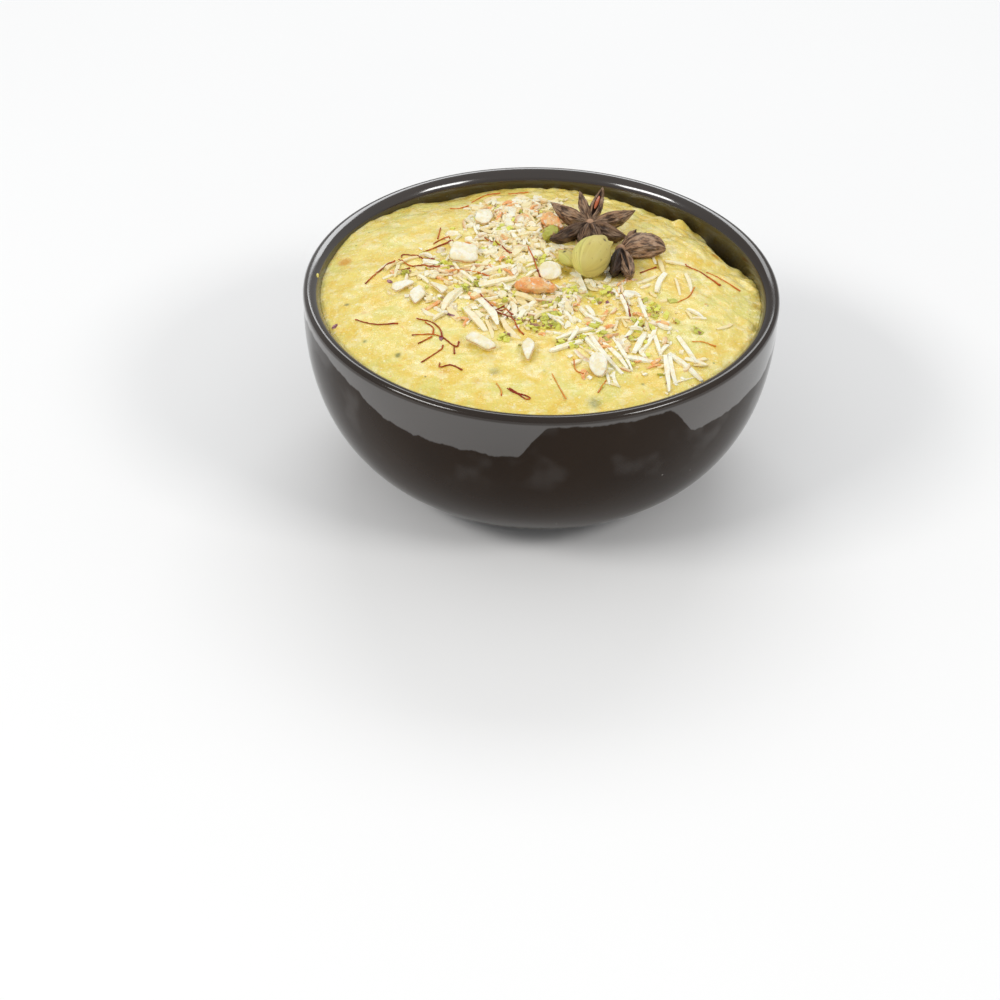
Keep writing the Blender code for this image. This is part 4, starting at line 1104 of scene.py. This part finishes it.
# The saffron. Dark red threads laid last over paste and nuts, and soaked ones that have given
# their orange to the paste; each is a fine curve that follows what it lies on, made a mesh.
SAFFRON_THREADS = [
    [(-59.7, -22.9), (-53.1, -26.7), (-45.7, -27.1)],
    [(-39.9, -24.9), (-34.9, -27.5), (-32.2, -31.4), (-31.3, -35.7)],
    [(-41, -34), (-34.6, -33.9), (-31.1, -35.7), (-26.9, -40.3), (-26, -37.5)],
    [(-37.1, -27.4), (-34.5, -30.2), (-34.3, -34)], [(-38.9, -38.8), (-34.6, -35)],
    [(-27.5, -40.5), (-27.3, -44)], [(-37.6, -47.9), (-31.9, -41.9), (-31, -39.3)],
    [(-31.7, -48.3), (-31.6, -50.3), (-28.2, -49.5), (-24.7, -52.1)],
    [(-10.6, -60.8), (-8.8, -62.5), (-7, -63.5), (-4.8, -65.2), (-3.5, -64.8),
     (-4.9, -63.8), (-7.3, -63), (-9.9, -60.9)], [(47.8, 13.1), (52.2, 8.7), (58.8, 1.3)],
    [(32.4, 4.5), (37.9, 8.9)], [(-39.4, 15.4), (-36.2, 17.5), (-29.6, 21.9)],
    [(-36, 20.5), (-33.5, 23.3), (-30.6, 24)],
    [(-46.3, 11.8), (-46, 13.5), (-41.6, 12.7), (-38.4, 10.9), (-35.4, 10.7)],
    [(-47.2, 10.4), (-43.2, 6.9), (-39.4, 6.1), (-33.3, 4.6)], [(-47.2, 3.4), (-43.3, 5.4)],
    [(-57.6, -2.4), (-53.5, 3.8), (-48.3, 8.7)],
    [(-19.1, 24.1), (-16.2, 20.3), (-13.1, 16.5), (-10, 12.3)],
    [(-19.9, -12.1), (-17.2, -18.3), (-14.9, -22), (-9.2, -25.5), (-7.9, -30.2), (-5.7, -33.6)],
    [(-13.8, -21.4), (-11.6, -21.3), (-9.2, -24.5)], [(-14.9, -22), (-12, -18.7)],
    [(-34, 31.2), (-34.7, 23.8)], [(-4.5, 17), (-2.6, 10.6), (-0.5, -1.2)],
    [(25.9, -11.3), (27.5, -16.6), (28.3, -23.2)],
]
SOAKED_THREADS = [
    [(3.2, -54), (5, -59), (7.5, -65.3)], [(54.6, 9.5), (60, 6), (65.4, 1.1)],
    [(20, -55.5), (19, -58.1), (17.4, -61.5)], [(47.7, -32.9), (51.3, -32.7), (55.4, -33.8)],
    [(13, -54), (10.5, -51.5), (10, -47)], [(-29.3, 0.8), (-23.4, 1.9), (-16.8, -0.6)],
    [(-31.4, 49), (-28.2, 49.2), (-24.9, 51.8)], [(-24, 55.6), (-18.8, 61.8), (-14.2, 64.5)],
    [(-11.4, 62.2), (-4.3, 63.1)], [(-14, -58.5), (-12.5, -61.5), (-12.3, -64)],
    [(44, -12), (48, -8), (50, -2)],
]
THREAD_RADIUS = 0.23
THREAD_STEPS = 9
laid = [halwa_top]
for name in ("nut_crumbs", "pistachio_bits", "almond_slivers", "dried_fruit_shreds"):
    laid.append(tree_of(bpy.data.objects[name]))


def top_height(x, y):
    """Height in millimetres of what lies highest at x, y."""
    heights = [height_on(tree, x, y) for tree in laid]
    return max(height for height in heights if height is not None)


def thread_path(points):
    """Points, in metres, of a smooth curve through x, y pairs, lying on what is there."""
    knots = [Vector((x, y, 0)) for x, y in points]
    knots = [2 * knots[0] - knots[1]] + knots + [2 * knots[-1] - knots[-2]]
    path = []
    for before, start, end, after in zip(knots, knots[1:], knots[2:], knots[3:]):
        leave = start + (end - before) / 6
        arrive = end - (after - start) / 6
        path += interpolate_bezier(start, leave, arrive, end, THREAD_STEPS)[:-1]
    path.append(knots[-2])
    heights = [top_height(spot.x, spot.y) for spot in path]
    for index, spot in enumerate(path):
        near = heights[max(index - 3, 0):index + 4]
        spot.z = max(sum(near) / len(near), heights[index] - 0.1) + rng.uniform(0.1, 0.3)
    return [spot * MM for spot in path]


for name, threads, thickness, dark, bright in [
    ("saffron_threads", SAFFRON_THREADS, 1.0, (0.30, 0.032, 0.005), (0.64, 0.15, 0.015)),
    ("saffron_soaked", SOAKED_THREADS, 0.8, (0.66, 0.15, 0.02), (0.82, 0.34, 0.05)),
]:
    saffron = Finish(name, IOR=1.36)
    steeped = saffron.patches(0.44, 0.64, 6 * MM, 3, 0.6)
    saffron.link("Base Color", saffron.mix(dark, bright, steeped))
    saffron.link("Roughness", 0.45 + 0.3 * saffron.noise(0.6 * MM, 2))
    saffron.relief(saffron.noise(0.3 * MM, 2), 0.05 * MM)
    curve = bpy.data.curves.new(name, "CURVE")
    curve.dimensions = "3D"
    curve.bevel_depth = THREAD_RADIUS * thickness * MM
    curve.bevel_resolution = 1
    curve.use_fill_caps = True
    for points in threads:
        path = thread_path(points)
        spline = curve.splines.new("POLY")
        spline.points.add(len(path) - 1)
        for index, (knot, spot) in enumerate(zip(spline.points, path)):
            knot.co = (*spot, 1.0)
            knot.radius = rng.uniform(0.75, 1.0) + 0.6 * (index / len(path)) ** 3
    strand = bpy.data.objects.new("strand", curve)
    bm = bmesh.new()
    bm.from_mesh(strand.to_mesh())
    bpy.data.objects.remove(strand)
    add_piece(name, bm, saffron)
